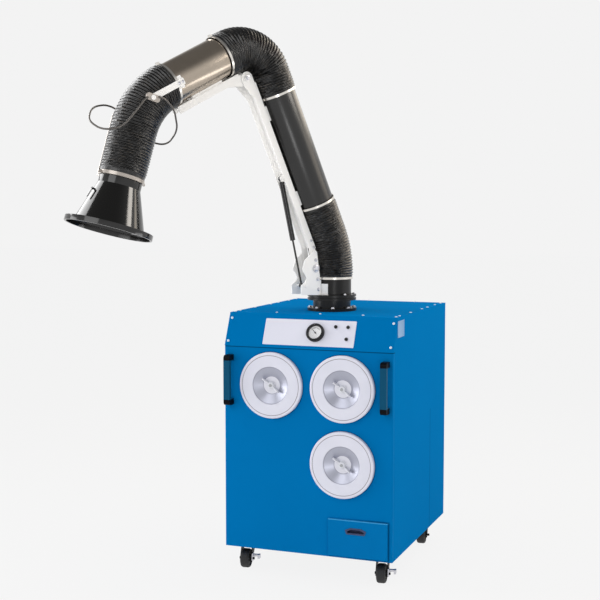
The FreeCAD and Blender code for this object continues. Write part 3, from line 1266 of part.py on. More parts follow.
def hood_fork():
    """Two bars from arc pads on the upper tube's sides to the hood's pivots."""
    along = UPPER_TUBE_END - FORK_RING - 2 * EAR_GAP
    seat = DUCT_RADIUS + REST_GAP
    end = UPPER_LENGTH + FORK_BAR_HALF
    tip = FORK_BAR_HALF - RUNNING_GAP
    arc = 2 * FORK_BAR_HALF
    ring = pipe(seat + FORK_RING_SHEET, seat, (0, 0, 0), (0, 0, FORK_RING))
    ring = along_axis(ring, ahead(ELBOW_BEND, UPPER_DIR, along), UPPER_DIR)
    tube = along_axis(rod(seat, (0, 0, 0), (0, 0, FORK_RING)), ahead(ELBOW_BEND, UPPER_DIR, along), UPPER_DIR)
    bars = []
    for hand in (-1, 1):
        half_space = in_link_axes([(along, -arc), (along + FORK_RING, -arc), (along + FORK_RING, arc), (along, arc)],
                                  ELBOW_BEND, UPPER_DIR, fork_side(), hand * fork_side() / 2)
        pad = in_link_axes([(along, FORK_BAR_HALF), (along, -FORK_BAR_HALF), (along + FORK_RING, -FORK_BAR_HALF),
                            (along + FORK_RING, FORK_BAR_HALF)],
                           ELBOW_BEND, UPPER_DIR, fork_side(), hand * (fork_side() + FORK_BAR) / 2)
        bar = in_link_axes([(along, FORK_BAR_HALF), (along, -FORK_BAR_HALF), (end, -FORK_BAR_HALF), (end, FORK_BAR_HALF)],
                           ELBOW_BEND, UPPER_DIR, FORK_BAR, hand * (fork_side() + FORK_BAR / 2), [2, 2, tip, tip])
        outer = hand * (fork_side() + FORK_BAR + STRAP_SHEET + 3 * REST_GAP)
        pin = rod(HOOD_PIN, in_plane(HOOD_BEND, hand * fork_side()), in_plane(HOOD_BEND, outer + hand * FORK_BAR))
        head = rod(HOOD_PIN * 1.8, in_plane(HOOD_BEND, outer), in_plane(HOOD_BEND, outer + hand * FORK_BAR))
        bars.append(fused(ring.common(half_space), pad.cut(tube), bar, pin, head))
    return on_arm(group(bars))


def strap_side():
    """Sideways place of the carrier's inner faces."""
    return fork_side() + FORK_BAR + REST_GAP


def hood_carrier():
    """Pivot plates on the fork, a flat strap down the far side and the clamp collar on the hood's neck."""
    far = -(strap_side() + STRAP_SHEET / 2)
    near = -far
    across = -STRAP_OFFSET
    half = STRAP_WIDTH / 2
    strap = in_link_axes([(-14, -14), (-14, 14), (60, half + 8), (COLLAR_AT + COLLAR_LENGTH, half + across),
                          (COLLAR_AT + COLLAR_LENGTH, -half + across), (70, -half + across)],
                         HOOD_BEND, HOOD_DIR, STRAP_SHEET, far, [10, 10, 30, 3, 3, 30])
    reach = RING_SEAT + 2 * RING_WIRE
    wide = PIVOT_PLATE_HALF
    plate_near = in_link_axes([(-wide, -reach), (-wide, reach), (wide, reach), (wide, -reach)], HOOD_BEND, HOOD_DIR,
                              STRAP_SHEET, near, [wide - 1] * 4)
    collar = turned([
        (HOOD_NECK_RADIUS + RUNNING_GAP, -COLLAR_SPIGOT), (DUCT_RADIUS, -COLLAR_SPIGOT), (DUCT_RADIUS, REST_GAP),
        (COLLAR_RADIUS, REST_GAP), (COLLAR_RADIUS, COLLAR_LENGTH), (HOOD_NECK_RADIUS + RUNNING_GAP, COLLAR_LENGTH)])
    block = box((-STRAP_OFFSET - half, -strap_side() - 0.5, REST_GAP), (-STRAP_OFFSET + half, 0, COLLAR_LENGTH))
    block = block.cut(rod(COLLAR_RADIUS - 2, (0, 0, -1), (0, 0, COLLAR_LENGTH + 1)))
    middle = COLLAR_LENGTH / 2
    knob_end = COLLAR_RADIUS + COLLAR_KNOB_REACH
    knobs = [rod(COLLAR_KNOB, (hand * (COLLAR_RADIUS - 1), 0, middle), (hand * knob_end, 0, middle))
             for hand in (-1, 1)]
    collar = along_axis(fused(collar, block, *knobs), ahead(HOOD_BEND, HOOD_DIR, COLLAR_AT), HOOD_DIR)
    holes = pin_hole(HOOD_BEND, HOOD_PIN)
    return on_arm(group([fused(strap, collar).cut(holes), plate_near.cut(holes)]))


def handle_ring():
    """Bent wire handle round the hose: straight runs joined by tangent arcs."""
    side = strap_side() + STRAP_SHEET + RING_WIRE + REST_GAP
    ends = [(RING_SEAT, side, 0.0), (RING_SEAT + 14, side, -8.0)], [(-RING_SEAT - 24, side, -4.0), (-RING_SEAT, side, 4.0)]
    route = ends[0] + list(RING_ROUTE) + ends[1]
    points = [V(HOOD_BEND[0] + u, v, HOOD_BEND[1] + w) for u, v, w in route]
    edges = []
    last = points[0]
    for before, here, after in zip(points, points[1:], points[2:]):
        back = before - here
        fore = after - here
        half = back.getAngle(fore) / 2
        reach = 0.45 * min(back.Length, fore.Length)
        radius = reach * math.tan(half)
        back.normalize()
        fore.normalize()
        bisector = back + fore
        bisector.normalize()
        entry = here + back * reach
        leave = here + fore * reach
        middle = here + bisector * (radius / math.sin(half) - radius)
        edges += [Part.makeLine(last, entry), Part.Arc(entry, middle, leave).toShape()]
        last = leave
    edges.append(Part.makeLine(last, points[-1]))
    path = Part.Wire(edges)
    heading = points[1] - points[0]
    section = Part.Wire(Part.Circle(points[0], heading, RING_WIRE).toShape())
    return on_arm(path.makePipeShell([section], True, False))


def hood_cone():
    """Hood: neck in the collar, cone, and a deep flat rim."""
    neck_in = HOOD_NECK_RADIUS - HOOD_WALL
    rim_in = HOOD_CONE_RADIUS - HOOD_WALL
    end = HOOD_RIM_AT + HOOD_RIM
    start = COLLAR_AT - COLLAR_SPIGOT + 6
    shoulder = COLLAR_AT + COLLAR_LENGTH + MOVING_GAP
    hood = turned([
        (neck_in, start), (HOOD_NECK_RADIUS, start), (HOOD_NECK_RADIUS, shoulder), (DUCT_RADIUS, shoulder),
        (DUCT_RADIUS, HOOD_NECK_END), (HOOD_CONE_RADIUS, HOOD_RIM_AT), (HOOD_RIM_RADIUS, HOOD_RIM_AT),
        (HOOD_RIM_RADIUS, end), (HOOD_RIM_RADIUS - 8, end), (HOOD_RIM_RADIUS - 8, HOOD_RIM_AT + HOOD_WALL),
        (rim_in, HOOD_RIM_AT + HOOD_WALL), (DUCT_RADIUS - HOOD_WALL, HOOD_NECK_END), (neck_in, HOOD_NECK_END - 6)])
    shaft = rod(DAMPER_SHAFT + RUNNING_GAP, (-2 * HOOD_RIM_RADIUS, 0, DAMPER_AT), (0, 0, DAMPER_AT))
    hood = along_axis(hood.cut(shaft), HOOD_BEND, HOOD_DIR)
    return on_arm(hood)


def hood_damper():
    """Round flap on a shaft with a lever outside the cone."""
    rise = (HOOD_CONE_RADIUS - DUCT_RADIUS) / (HOOD_RIM_AT - HOOD_NECK_END)
    wall = DUCT_RADIUS + rise * (DAMPER_AT - HOOD_NECK_END)
    flap = rod(DAMPER_RADIUS, (0, 0, DAMPER_AT - DAMPER_SHEET / 2), (0, 0, DAMPER_AT + DAMPER_SHEET / 2))
    shaft = rod(DAMPER_SHAFT, (-wall - 14, 0, DAMPER_AT), (DAMPER_RADIUS - 10, 0, DAMPER_AT))
    lever = plate([(-7, -7), (7, -7), (5, DAMPER_LEVER), (-5, DAMPER_LEVER)], 3.0, [6, 6, 4, 4])
    lever.Placement = FreeCAD.Placement(V(-wall - 14, 0, DAMPER_AT), FreeCAD.Rotation(
        V(0, 1, 0), V(-rise * 0.9, 0, 1), V(1, 0, rise * 0.9), "ZXY"))
    return on_arm(along_axis(fused(flap, shaft, lever), HOOD_BEND, HOOD_DIR))


# All nodes

NODES = {
    "base_pan": base_pan,
    "side_panel_left": side_panel_left,
    "side_panel_right": side_panel_right,
    "front_panel": front_panel,
    "back_panel": back_panel,
    "top_cover": top_cover,
    "inner_partitions": inner_partitions,
    "filter_cartridges": filter_cartridges,
    "push_handles": push_handles,
    "control_plate": control_plate,
    "gauge_case": gauge_case,
    "gauge_lens": gauge_lens,
    "gauge_needle": gauge_needle,
    "fan_housing": fan_housing,
    "fan_motor": fan_motor,
    "fan_wheel": fan_wheel,
    "cable_gland": cable_gland,
    "caster_plates": caster_plates,
    "dust_drawer": dust_drawer,
    "drawer_pull": drawer_pull,
    "swivel_base": swivel_base,
    "swivel_collar": swivel_collar,
    "shoulder_bracket": shoulder_bracket,
    "base_band": base_band,
    "lower_link": lower_link,
    "lower_tube": lower_tube,
    "lower_bands": lower_bands,
    "gas_cylinder": gas_cylinder,
    "gas_rod": gas_rod,
    "upper_link": upper_link,
    "upper_tube": upper_tube,
    "upper_bands": upper_bands,
    "base_hose": base_hose,
    "elbow_hose": elbow_hose,
    "hood_hose": hood_hose,
    "hood_fork": hood_fork,
    "hood_carrier": hood_carrier,
    "handle_ring": handle_ring,
    "hood_cone": hood_cone,
    "hood_damper": hood_damper,
}


def all_nodes():
    """Every node's name and solid, with the repeated pieces from their places."""
    for name, build in NODES.items():
        yield name, build()
    for name, place in STATIONS.items():
        yield "filter_cover_" + name, filter_cover(place)
        yield "cover_knob_" + name, cover_knob(place)
    for number, place in enumerate(BUTTON_PLACES, 1):
        yield "push_button_%d" % number, push_button(place)
    for name, place in CASTERS.items():
        yield "caster_fork_" + name, caster_fork(place)
        yield "caster_wheel_" + name, caster_wheel(place)
        if name in BRAKED:
            yield "brake_lever_" + name, brake_lever(place)


os.makedirs("parts", exist_ok=True)
for node, solid in all_nodes():
    solid.exportStep("parts/" + node + ".step")
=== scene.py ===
"""Looks of a portable fume extractor: finishes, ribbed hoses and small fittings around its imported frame."""
import logging
import math
from dataclasses import dataclass
from enum import Enum
from typing import Any, Callable, Optional, Sequence, Union

import bmesh
import bpy
import numpy as np
from mathutils import Matrix, Vector


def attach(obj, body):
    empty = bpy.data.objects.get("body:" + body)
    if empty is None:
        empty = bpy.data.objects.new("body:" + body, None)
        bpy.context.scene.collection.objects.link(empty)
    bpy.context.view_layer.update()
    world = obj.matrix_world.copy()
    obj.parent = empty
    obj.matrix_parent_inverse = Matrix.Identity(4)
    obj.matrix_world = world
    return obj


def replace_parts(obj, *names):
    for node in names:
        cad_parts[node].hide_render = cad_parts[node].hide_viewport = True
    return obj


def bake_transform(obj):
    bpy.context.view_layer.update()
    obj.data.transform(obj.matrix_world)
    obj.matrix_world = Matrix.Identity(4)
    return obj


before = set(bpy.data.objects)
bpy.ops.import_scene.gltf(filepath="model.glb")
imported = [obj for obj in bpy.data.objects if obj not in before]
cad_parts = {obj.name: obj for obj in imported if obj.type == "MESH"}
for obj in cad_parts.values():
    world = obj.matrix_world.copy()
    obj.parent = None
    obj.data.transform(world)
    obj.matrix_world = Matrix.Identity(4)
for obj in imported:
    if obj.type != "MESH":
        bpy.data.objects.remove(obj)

LOG = logging.getLogger("fume_extractor")
MM = 0.001

Pair = tuple[float, float]
Triple = tuple[float, float, float]
Colour = Triple
Value = Union[float, "Sock"]
Number = Union[float, np.ndarray]


def srgb(red: int, green: int, blue: int) -> Colour:
    """Turn a display colour into the linear colour that a shader takes.

    Args:
        red: Red from 0 to 255.
        green: Green from 0 to 255.
        blue: Blue from 0 to 255.

    Returns:
        The linear colour.
    """
    def channel(level: int) -> float:
        """Linear value of one channel."""
        share = level / 255
        return share / 12.92 if share <= 0.04045 else ((share + 0.055) / 1.055) ** 2.4
    return channel(red), channel(green), channel(blue)


def shade(colour: Colour, factor: float) -> Colour:
    """Darken or lighten a colour by a factor."""
    return tuple(min(1.0, part * factor) for part in colour)


def joining(operation: str, flipped: bool = False) -> Callable[..., "Sock"]:
    """Make a method that joins a socket and a value in one Math node.

    Args:
        operation: The Math node's operation.
        flipped: Whether the value comes before the socket.

    Returns:
        The method.
    """
    def join(self: "Sock", other: Value = 0.0) -> "Sock":
        """Add the Math node."""
        first, second = (other, self) if flipped else (self, other)
        return self.paint.node("ShaderNodeMath", {"operation": operation}, {0: first, 1: second})
    return join


class Sock:
    """An output socket whose arithmetic adds Math nodes to its material."""

    __add__ = joining("ADD")
    __radd__ = joining("ADD", flipped=True)
    __sub__ = joining("SUBTRACT")
    __rsub__ = joining("SUBTRACT", flipped=True)
    __mul__ = joining("MULTIPLY")
    __rmul__ = joining("MULTIPLY", flipped=True)
    __lt__ = joining("LESS_THAN")
    __gt__ = joining("GREATER_THAN")
    __abs__ = joining("ABSOLUTE")
    most = joining("MAXIMUM")
    root = joining("SQRT")
    fraction = joining("FRACT")
    angle_to = joining("ARCTAN2")

    def __init__(self, paint: "Paint", socket: Any) -> None:
        """Keep the socket with the material that it belongs to."""
        self.paint = paint
        self.socket = socket

    def step(self, low: float, high: float) -> "Sock":
        """Smooth step from 0 at low to 1 at high."""
        return self.paint.node("ShaderNodeMapRange", {"interpolation_type": "SMOOTHSTEP"},
                               {"Value": self, "From Min": low, "From Max": high})


class Paint:
    """The node tree of one material, or of the surroundings."""

    def __init__(self, name: str, world: bool = False) -> None:
        """Start an empty material.

        Args:
            name: The material's name.
            world: Whether it is the surroundings instead of a surface.
        """
        self.material = bpy.data.worlds.new(name) if world else bpy.data.materials.new(name)
        self.material.use_nodes = True
        self.tree = self.material.node_tree
        self.tree.nodes.clear()

    def node(self, kind: str, settings: Optional[dict] = None, inputs: Optional[dict] = None,
             output: Union[int, str] = 0) -> Optional[Sock]:
        """Add any node.

        Args:
            kind: The node's type.
            settings: Attributes of the node, set first.
            inputs: Values or links of its sockets, by name or place.
            output: The output to give back.

        Returns:
            That output, or None where the node has none.
        """
        made = self.tree.nodes.new(kind)
        for key, value in (settings or {}).items():
            setattr(made, key, value)
        for key, value in (inputs or {}).items():
            if isinstance(value, Sock):
                self.tree.links.new(value.socket, made.inputs[key])
            else:
                made.inputs[key].default_value = value
        return Sock(self, made.outputs[output]) if made.outputs else None

    def place(self) -> Sock:
        """Object coordinates, which are metres in the shared frame."""
        return self.node("ShaderNodeTexCoord", output="Object")

    def stretch(self, vector: Sock, scale: Sequence[float]) -> Sock:
        """Stretch coordinates, to draw a grain out along an axis."""
        return self.node("ShaderNodeMapping", None, {"Vector": vector, "Scale": scale})

    def offset(self, vector: Sock, origin: Sequence[float]) -> Sock:
        """Coordinates measured from an origin."""
        return self.node("ShaderNodeVectorMath", {"operation": "SUBTRACT"}, {0: vector, 1: origin})

    def along(self, vector: Sock, axis: Sequence[float]) -> Sock:
        """Part of a vector along an axis."""
        return self.node("ShaderNodeVectorMath", {"operation": "DOT_PRODUCT"}, {0: vector, 1: axis}, "Value")

    def around(self, vector: Sock, axis: Sequence[float]) -> Sock:
        """Distance of a vector from an axis through the origin."""
        across = self.node("ShaderNodeVectorMath", {"operation": "CROSS_PRODUCT"}, {0: vector, 1: axis})
        return self.node("ShaderNodeVectorMath", {"operation": "LENGTH"}, {0: across}, "Value")

    def noise(self, vector: Sock, scale: float, detail: float = 2.0) -> Sock:
        """Smooth noise from 0 to 1."""
        return self.node("ShaderNodeTexNoise", None, {"Vector": vector, "Scale": scale, "Detail": detail})

    def mix(self, factor: Value, first: Union[Colour, Sock], second: Union[Colour, Sock]) -> Sock:
        """Blend from a first colour at 0 to a second at 1."""
        ends = [part if isinstance(part, Sock) else (*part, 1.0) for part in (first, second)]
        return self.node("ShaderNodeMix", {"data_type": "RGBA"}, {0: factor, 6: ends[0], 7: ends[1]}, 2)

    def bump(self, height: Sock, strength: float, depth: float) -> Sock:
        """Normal that follows a height."""
        return self.node("ShaderNodeBump", None, {"Height": height, "Strength": strength, "Distance": depth})

    def close(self, **values: Any) -> bpy.types.Material:
        """Finish with one shader.

        Args:
            values: The shader's sockets, with underscores for spaces.

        Returns:
            The finished material.
        """
        named = {key.replace("_", " "): value for key, value in values.items()}
        shader = self.node("ShaderNodeBsdfPrincipled", None, named)
        self.node("ShaderNodeOutputMaterial", None, {"Surface": shader})
        return self.material


@dataclass(frozen=True)
class Coat:
    """Paint, plastic or rubber: a toned colour with a fine skin.

    Attributes:
        name: The material's name.
        colour: Its colour.
        roughness: Mean roughness.
        grain: Repeats of the skin per metre.
        relief: Depth of the skin in metres.
        tone: How far the colour wanders.
        gloss: Weight of the clear layer on top.
        shine: Strength of the skin's own reflection.
        drift: Repeats of the colour's wandering per metre.
        smudge: Share of the roughness that smudges change.
        skin: Share of the roughness that the fine skin changes.
    """

    name: str
    colour: Colour
    roughness: float = 0.4
    grain: float = 700.0
    relief: float = 0.0002
    tone: float = 0.06
    gloss: float = 0.0
    shine: float = 0.3
    drift: float = 4.0
    smudge: float = 0.16
    skin: float = 0.12

    def make(self) -> bpy.types.Material:
        """Build the material."""
        paint = Paint(self.name)
        at = paint.place()
        fine = paint.noise(at, self.grain)
        smudges = paint.noise(at, 26.0, 4.0)
        even = 1 - (self.smudge + self.skin) / 2
        rough = self.roughness * (even + self.smudge * smudges + self.skin * fine)
        return paint.close(Base_Color=self.tint(paint, at), Roughness=rough,
                           Normal=paint.bump(fine, 0.5, self.relief), Coat_Weight=self.gloss,
                           Coat_Roughness=0.08, Specular_IOR_Level=self.shine)

    def tint(self, paint: Paint, at: Sock) -> Sock:
        """Colour of the surface at each place."""
        return self.toned(paint, at, self.colour)

    def toned(self, paint: Paint, at: Sock, colour: Colour) -> Sock:
        """A colour that wanders a little from place to place."""
        broad = paint.noise(at, self.drift, 3.0)
        return paint.mix(broad, shade(colour, 1 - self.tone), shade(colour, 1 + self.tone))


@dataclass(frozen=True)
class PowderCoat(Coat):
    """Coat of sheet metal, with no smudges."""

    smudge: float = 0.0
    skin: float = 0.16


@dataclass(frozen=True)
class Seamed(PowderCoat):
    """Powder coat with faint fold lines down a panel.

    Attributes:
        seams: Place of each line along Y and the height at which it ends.
        seam_edge: Distances from a line at which it starts to fade and is gone.
    """

    seams: tuple[Pair, ...] = ((155 * MM, 620 * MM), (-388 * MM, 925 * MM))
    seam_edge: Pair = (2 * MM, 5 * MM)

    def tint(self, paint: Paint, at: Sock) -> Sock:
        """Colour with the fold lines drawn in.

        Args:
            paint: The material's nodes.
            at: Place on the surface.

        Returns:
            The colour.
        """
        back = paint.along(at, (0, 1, 0))
        high = paint.along(at, (0, 0, 1))
        lines = [(1 - abs(back - seam).step(*self.seam_edge)) * (high < top) for seam, top in self.seams]
        return paint.mix(sum(lines) * 0.5, self.toned(paint, at, self.colour), shade(self.colour, 0.3))


COVER_PLACES: dict[str, Pair] = {
    "upper_left": (-150 * MM, 775 * MM),
    "upper_right": (150 * MM, 775 * MM),
    "lower_right": (150 * MM, 475 * MM),
}


@dataclass(frozen=True)
class FrontSkin(PowderCoat):
    """Powder coat of the front, with painted shade in the seams round what is set in it.

    Attributes:
        fold: Height of the seam under the slope.
        fold_edge: Distances from that seam at which its painted shade line starts to fade and is gone.
        drawer: Middle of the drawer as X and Z.
        drawer_half: Half its width and height.
        drawer_edge: Distances from the drawer at which its painted shadow starts to fade and is gone.
        drawer_side: Distances from the drawer's middle between which its painted shadow grows to the right.
        cover_radius: Radius of the round covers.
        cover_edge: Distances from a cover at which its painted shadow outline starts to fade and is gone.
    """

    fold: float = 924.6 * MM
    fold_edge: Pair = (1.0 * MM, 2.6 * MM)
    drawer: Pair = (215 * MM, 183.5 * MM)
    drawer_half: Pair = (123 * MM, 73.5 * MM)
    drawer_edge: Pair = (1 * MM, 9 * MM)
    drawer_side: Pair = (-80 * MM, 110 * MM)
    cover_radius: float = 133 * MM
    cover_edge: Pair = (1.2 * MM, 3.8 * MM)

    def tint(self, paint: Paint, at: Sock) -> Sock:
        """Colour with painted shade drawn in along the seams.

        Args:
            paint: The material's nodes.
            at: Place on the surface.

        Returns:
            The colour.
        """
        across = paint.along(at, (1, 0, 0)) - self.drawer[0]
        high = paint.along(at, (0, 0, 1))
        # Painted shade: a dark line along the seam under the slope, where the lap joint lies in shadow.
        seam = (1 - abs(high - self.fold).step(*self.fold_edge)) * 0.75
        # Painted shadow round the drawer's edge, faint at its left and darkest towards its right.
        beside = abs(across) - self.drawer_half[0]
        above = abs(high - self.drawer[1]) - self.drawer_half[1]
        weight = 0.12 + 0.5 * across.step(*self.drawer_side)
        seam = seam.most((1 - beside.most(above).step(*self.drawer_edge)) * weight)
        # Painted shadow: a dark outline round each cover.
        for x, z in COVER_PLACES.values():
            beyond = paint.around(paint.offset(at, (x, 0, z)), (0, 1, 0)) - self.cover_radius
            seam = seam.most((1 - beyond.step(*self.cover_edge)) * 0.7)
        return paint.mix(seam, self.toned(paint, at, self.colour), shade(self.colour, 0.12))


@dataclass(frozen=True)
class Banded(PowderCoat):
    """Coat whose upper or middle part has another colour: a second paint tone on the handle, and a painted
    highlight along the drawer's lit top edge.

    Attributes:
        low: Height where the other colour starts.
        high: Height where it ends.
        second: The other colour, a real tone on the handle and a painted highlight on the drawer.
        soft: Half the width of the band's edge.
    """

    drift: float = 9.0
    low: float = 0.0
    high: float = 1.0
    second: Colour = (0.0, 0.0, 0.0)
    soft: float = 0.6 * MM

    def tint(self, paint: Paint, at: Sock) -> Sock:
        """Colour with the band drawn in the other colour.

        Args:
            paint: The material's nodes.
            at: Place on the surface.

        Returns:
            The colour.
        """
        level = paint.along(at, (0, 0, 1))
        started = level.step(self.low - self.soft, self.low + self.soft)
        ended = level.step(self.high - self.soft, self.high + self.soft)
        first, second = (self.toned(paint, at, colour) for colour in (self.colour, self.second))
        return paint.mix(started * (1 - ended), first, second)


@dataclass(frozen=True)
class Metal:
    """Bare or plated metal with a drawn grain.

    Attributes:
        name: The material's name.
        colour: Its colour.
        roughness: Mean roughness.
        grain: Stretch of the grain along X, Y and Z, per metre.
        relief: Depth of the grain in metres.
        bare: Share of bare metal, below one where the plating is dull.
    """

    name: str
    colour: Colour
    roughness: float = 0.25
    grain: Triple = (300.0, 300.0, 300.0)
    relief: float = 0.00004
    bare: float = 1.0

    def make(self) -> bpy.types.Material:
        """Build the material."""
        paint = Paint(self.name)
        at = paint.place()
        drawn = paint.noise(paint.stretch(at, self.grain), 1.0, 3.0)
        cloud = paint.noise(at, 18.0, 3.0)
        colour = paint.mix(cloud, shade(self.colour, 0.88), shade(self.colour, 1.06))
        rough = self.roughness * (0.7 + 0.35 * drawn + 0.25 * cloud)
        return paint.close(Base_Color=colour, Metallic=self.bare, Roughness=rough,
                           Normal=paint.bump(drawn, 0.35, self.relief))


@dataclass(frozen=True)
class RoundCover:
    """Painted ring round a turned bright dish, with a dark groove.

    Attributes:
        name: The material's name.
        centre: Middle of the cover as X and Z, in metres.
        ring: Colour of the painted ring.
        dish: Colour of the bright dish.
        groove: Radius of the groove, and where its line starts to fade and is gone.
        lip: Radius where the ring ends, with the same two distances.
        rim: Radius of the raised middle, with the same two distances.
    """

    name: str
    centre: Pair
    ring: Colour
    dish: Colour
    groove: Triple = (120.5 * MM, 0.7 * MM, 1.4 * MM)
    lip: Triple = (74.2 * MM, 0.8 * MM, 2.2 * MM)
    rim: Triple = (36 * MM, 0.6 * MM, 1.6 * MM)

    def make(self) -> bpy.types.Material:
        """Build the material."""
        paint = Paint(self.name)
        at = paint.offset(paint.place(), (self.centre[0], 0, self.centre[1]))
        radius = paint.around(at, (0, 1, 0))
        bare = 1 - (radius - self.lip[0]).step(-0.6 * MM, 0.6 * MM)
        boss = 1 - (radius - self.rim[0]).step(-1.5 * MM, 0.4 * MM)
        groove, lip, rim = (1 - abs(radius - middle).step(*fade)
                            for middle, *fade in (self.groove, self.lip, self.rim))
        turned = paint.node("ShaderNodeTexNoise", {"noise_dimensions": "1D"}, {"W": radius, "Scale": 2600.0})
        fine = paint.noise(at, 800.0)
        cloud = paint.noise(at, 14.0, 3.0)
        painted = paint.mix(cloud, shade(self.ring, 0.95), shade(self.ring, 1.03))
        painted = paint.mix(groove * 0.8, painted, srgb(96, 74, 84))
        metal = paint.mix(turned, shade(self.dish, 0.86), shade(self.dish, 1.1))
        metal = paint.mix(boss * 0.7, metal, srgb(236, 236, 244))
        metal = paint.mix(rim * 0.6, metal, srgb(110, 112, 136))
        colour = paint.mix(bare, painted, metal)
        colour = paint.mix(lip * 0.6, colour, srgb(104, 106, 126))
        rough = 0.42 - 0.1 * bare + 0.08 * fine
        relief = paint.bump(turned * bare + fine * (1 - bare) * 0.5, 0.3, 0.00008)
        return paint.close(Base_Color=colour, Metallic=bare * 0.8, Roughness=rough, Normal=relief)


@dataclass(frozen=True)
class WheelMix:
    """Rubber tread with a moulded hub.

    Attributes:
        name: The material's name.
        tread: Colour of the tread.
    """

    name: str
    tread: Colour

    def make(self) -> bpy.types.Material:
        """Build the material."""
        paint = Paint(self.name)
        at = paint.place()
        scuff = paint.noise(at, 120.0, 5.0)
        dust = paint.noise(at, 30.0, 3.0)
        low = 1 - paint.along(at, (0, 0, 1)).step(0.0, 0.05)
        colour = paint.mix(scuff * 0.5, self.tread, shade(self.tread, 2.2))
        colour = paint.mix(low * dust * 0.35, colour, srgb(88, 86, 84))
        return paint.close(Base_Color=colour, Roughness=0.5 + 0.3 * scuff,
                           Normal=paint.bump(scuff, 0.4, 0.0003))


@dataclass(frozen=True)
class HoseCloth:
    """Coated black cloth over a wire coil, with the rib crests painted paler: a painted sheen where light
    catches them, in patches like wear.

    Attributes:
        name: The material's name.
        deep: Colour between the ribs.
        crest: Paler colour on the ribs, a painted sheen.
    """

    name: str
    deep: Colour
    crest: Colour

    def make(self) -> bpy.types.Material:
        """Build the material."""
        paint = Paint(self.name)
        at = paint.place()
        rib = paint.node("ShaderNodeAttribute", {"attribute_name": "crest"}, None, "Fac")
        weave = paint.noise(at, 1500.0)
        crease = paint.noise(at, 110.0, 4.0)
        crest_sheen_and_wear = paint.noise(at, 42.0, 3.0)
        # Painted sheen: patches of the rib crests turn paler, where light would catch them.
        colour = paint.mix(rib.step(0.7, 1.05) * crest_sheen_and_wear.step(0.45, 0.7), self.deep, self.crest)
        rough = 0.15 - 0.04 * rib + 0.12 * crease
        height = crease * 0.85 + weave * 0.15
        return paint.close(Base_Color=colour, Roughness=rough, Normal=paint.bump(height, 0.6, 0.003),
                           Specular_IOR_Level=0.6)


@dataclass(frozen=True)
class DialPrint:
    """White dial with a plain arc of marks.

    Attributes:
        name: The material's name.
        centre: Middle of the dial.
        across: Direction to the dial's right.
        up: Direction to the dial's top.
        sweep: Angle of the arc to each side.
        arc: Radius of the arc.
        arc_edge: Distances from the arc at which its line starts to fade and is gone.
        marks: Inner and outer radius of the marks.
        long_marks: Inner and outer radius of the long marks.
        spaces: Spaces between marks in a quarter turn.
        long_spaces: Spaces between long marks in a quarter turn.
    """

    name: str
    centre: Triple
    across: Triple
    up: Triple
    sweep: float = math.radians(52)
    arc: float = 19.5 * MM
    arc_edge: Pair = (0.2 * MM, 0.5 * MM)
    marks: Pair = (19.5 * MM, 23.2 * MM)
    long_marks: Pair = (17.5 * MM, 24.2 * MM)
    spaces: int = 20
    long_spaces: int = 4

    def make(self) -> bpy.types.Material:
        """Build the material."""
        paint = Paint(self.name)
        at = paint.offset(paint.place(), self.centre)
        right = paint.along(at, self.across)
        high = paint.along(at, self.up)
        radius = (right * right + high * high).root()
        lean = right.angle_to(high)

        def spokes(spaces: int, ends: Pair, width: float) -> Sock:
            """Marks between two radii, each as wide as its share of a space says."""
            place = (lean * (spaces / math.radians(90)) + 0.5).fraction()
            return (1 - abs(place - 0.5).step(width, 2 * width)) * (radius > ends[0]) * (radius < ends[1])

        arc = 1 - abs(radius - self.arc).step(*self.arc_edge)
        lines = arc + spokes(self.spaces, self.marks, 0.1) + spokes(self.long_spaces, self.long_marks, 0.03)
        ink = lines.step(0.3, 0.7) * (abs(lean) < self.sweep)
        mottle = paint.noise(at, 300.0)
        white = paint.mix(mottle, srgb(240, 240, 242), srgb(250, 250, 252))
        colour = paint.mix(ink, white, srgb(28, 28, 32))
        return paint.close(Base_Color=colour, Roughness=0.45 + 0.1 * mottle)


@dataclass(frozen=True)
class Pleats:
    """Pleated filter paper, folded along the cartridge, with painted shade in the pleat valleys.

    Attributes:
        name: The material's name.
        colour: Colour of the paper.
    """

    name: str
    colour: Colour

    def make(self) -> bpy.types.Material:
        """Build the material."""
        paint = Paint(self.name)
        at = paint.place()
        fold = paint.noise(paint.stretch(at, (260.0, 4.0, 260.0)), 1.0, 2.0)
        fibre = paint.noise(at, 900.0)
        # Painted shade: the paper darkens where the folds run low, in the pleat valleys.
        colour = paint.mix(fold, shade(self.colour, 0.6), self.colour)
        return paint.close(Base_Color=colour, Roughness=0.8 + 0.1 * fibre,
                           Normal=paint.bump(fold, 0.6, 0.002))


@dataclass(frozen=True)
class ClearLens:
    """Clear window with faint smears.

    Attributes:
        name: The material's name.
    """

    name: str

    def make(self) -> bpy.types.Material:
        """Build the material."""
        paint = Paint(self.name)
        smear = paint.noise(paint.place(), 90.0, 4.0)
        return paint.close(Base_Color=(1.0, 1.0, 1.0, 1.0), Roughness=0.02 + 0.05 * smear, IOR=1.45,
                           Transmission_Weight=1.0, Alpha=0.12)


BLUE = srgb(0, 112, 177)
LAVENDER = srgb(222, 223, 236)


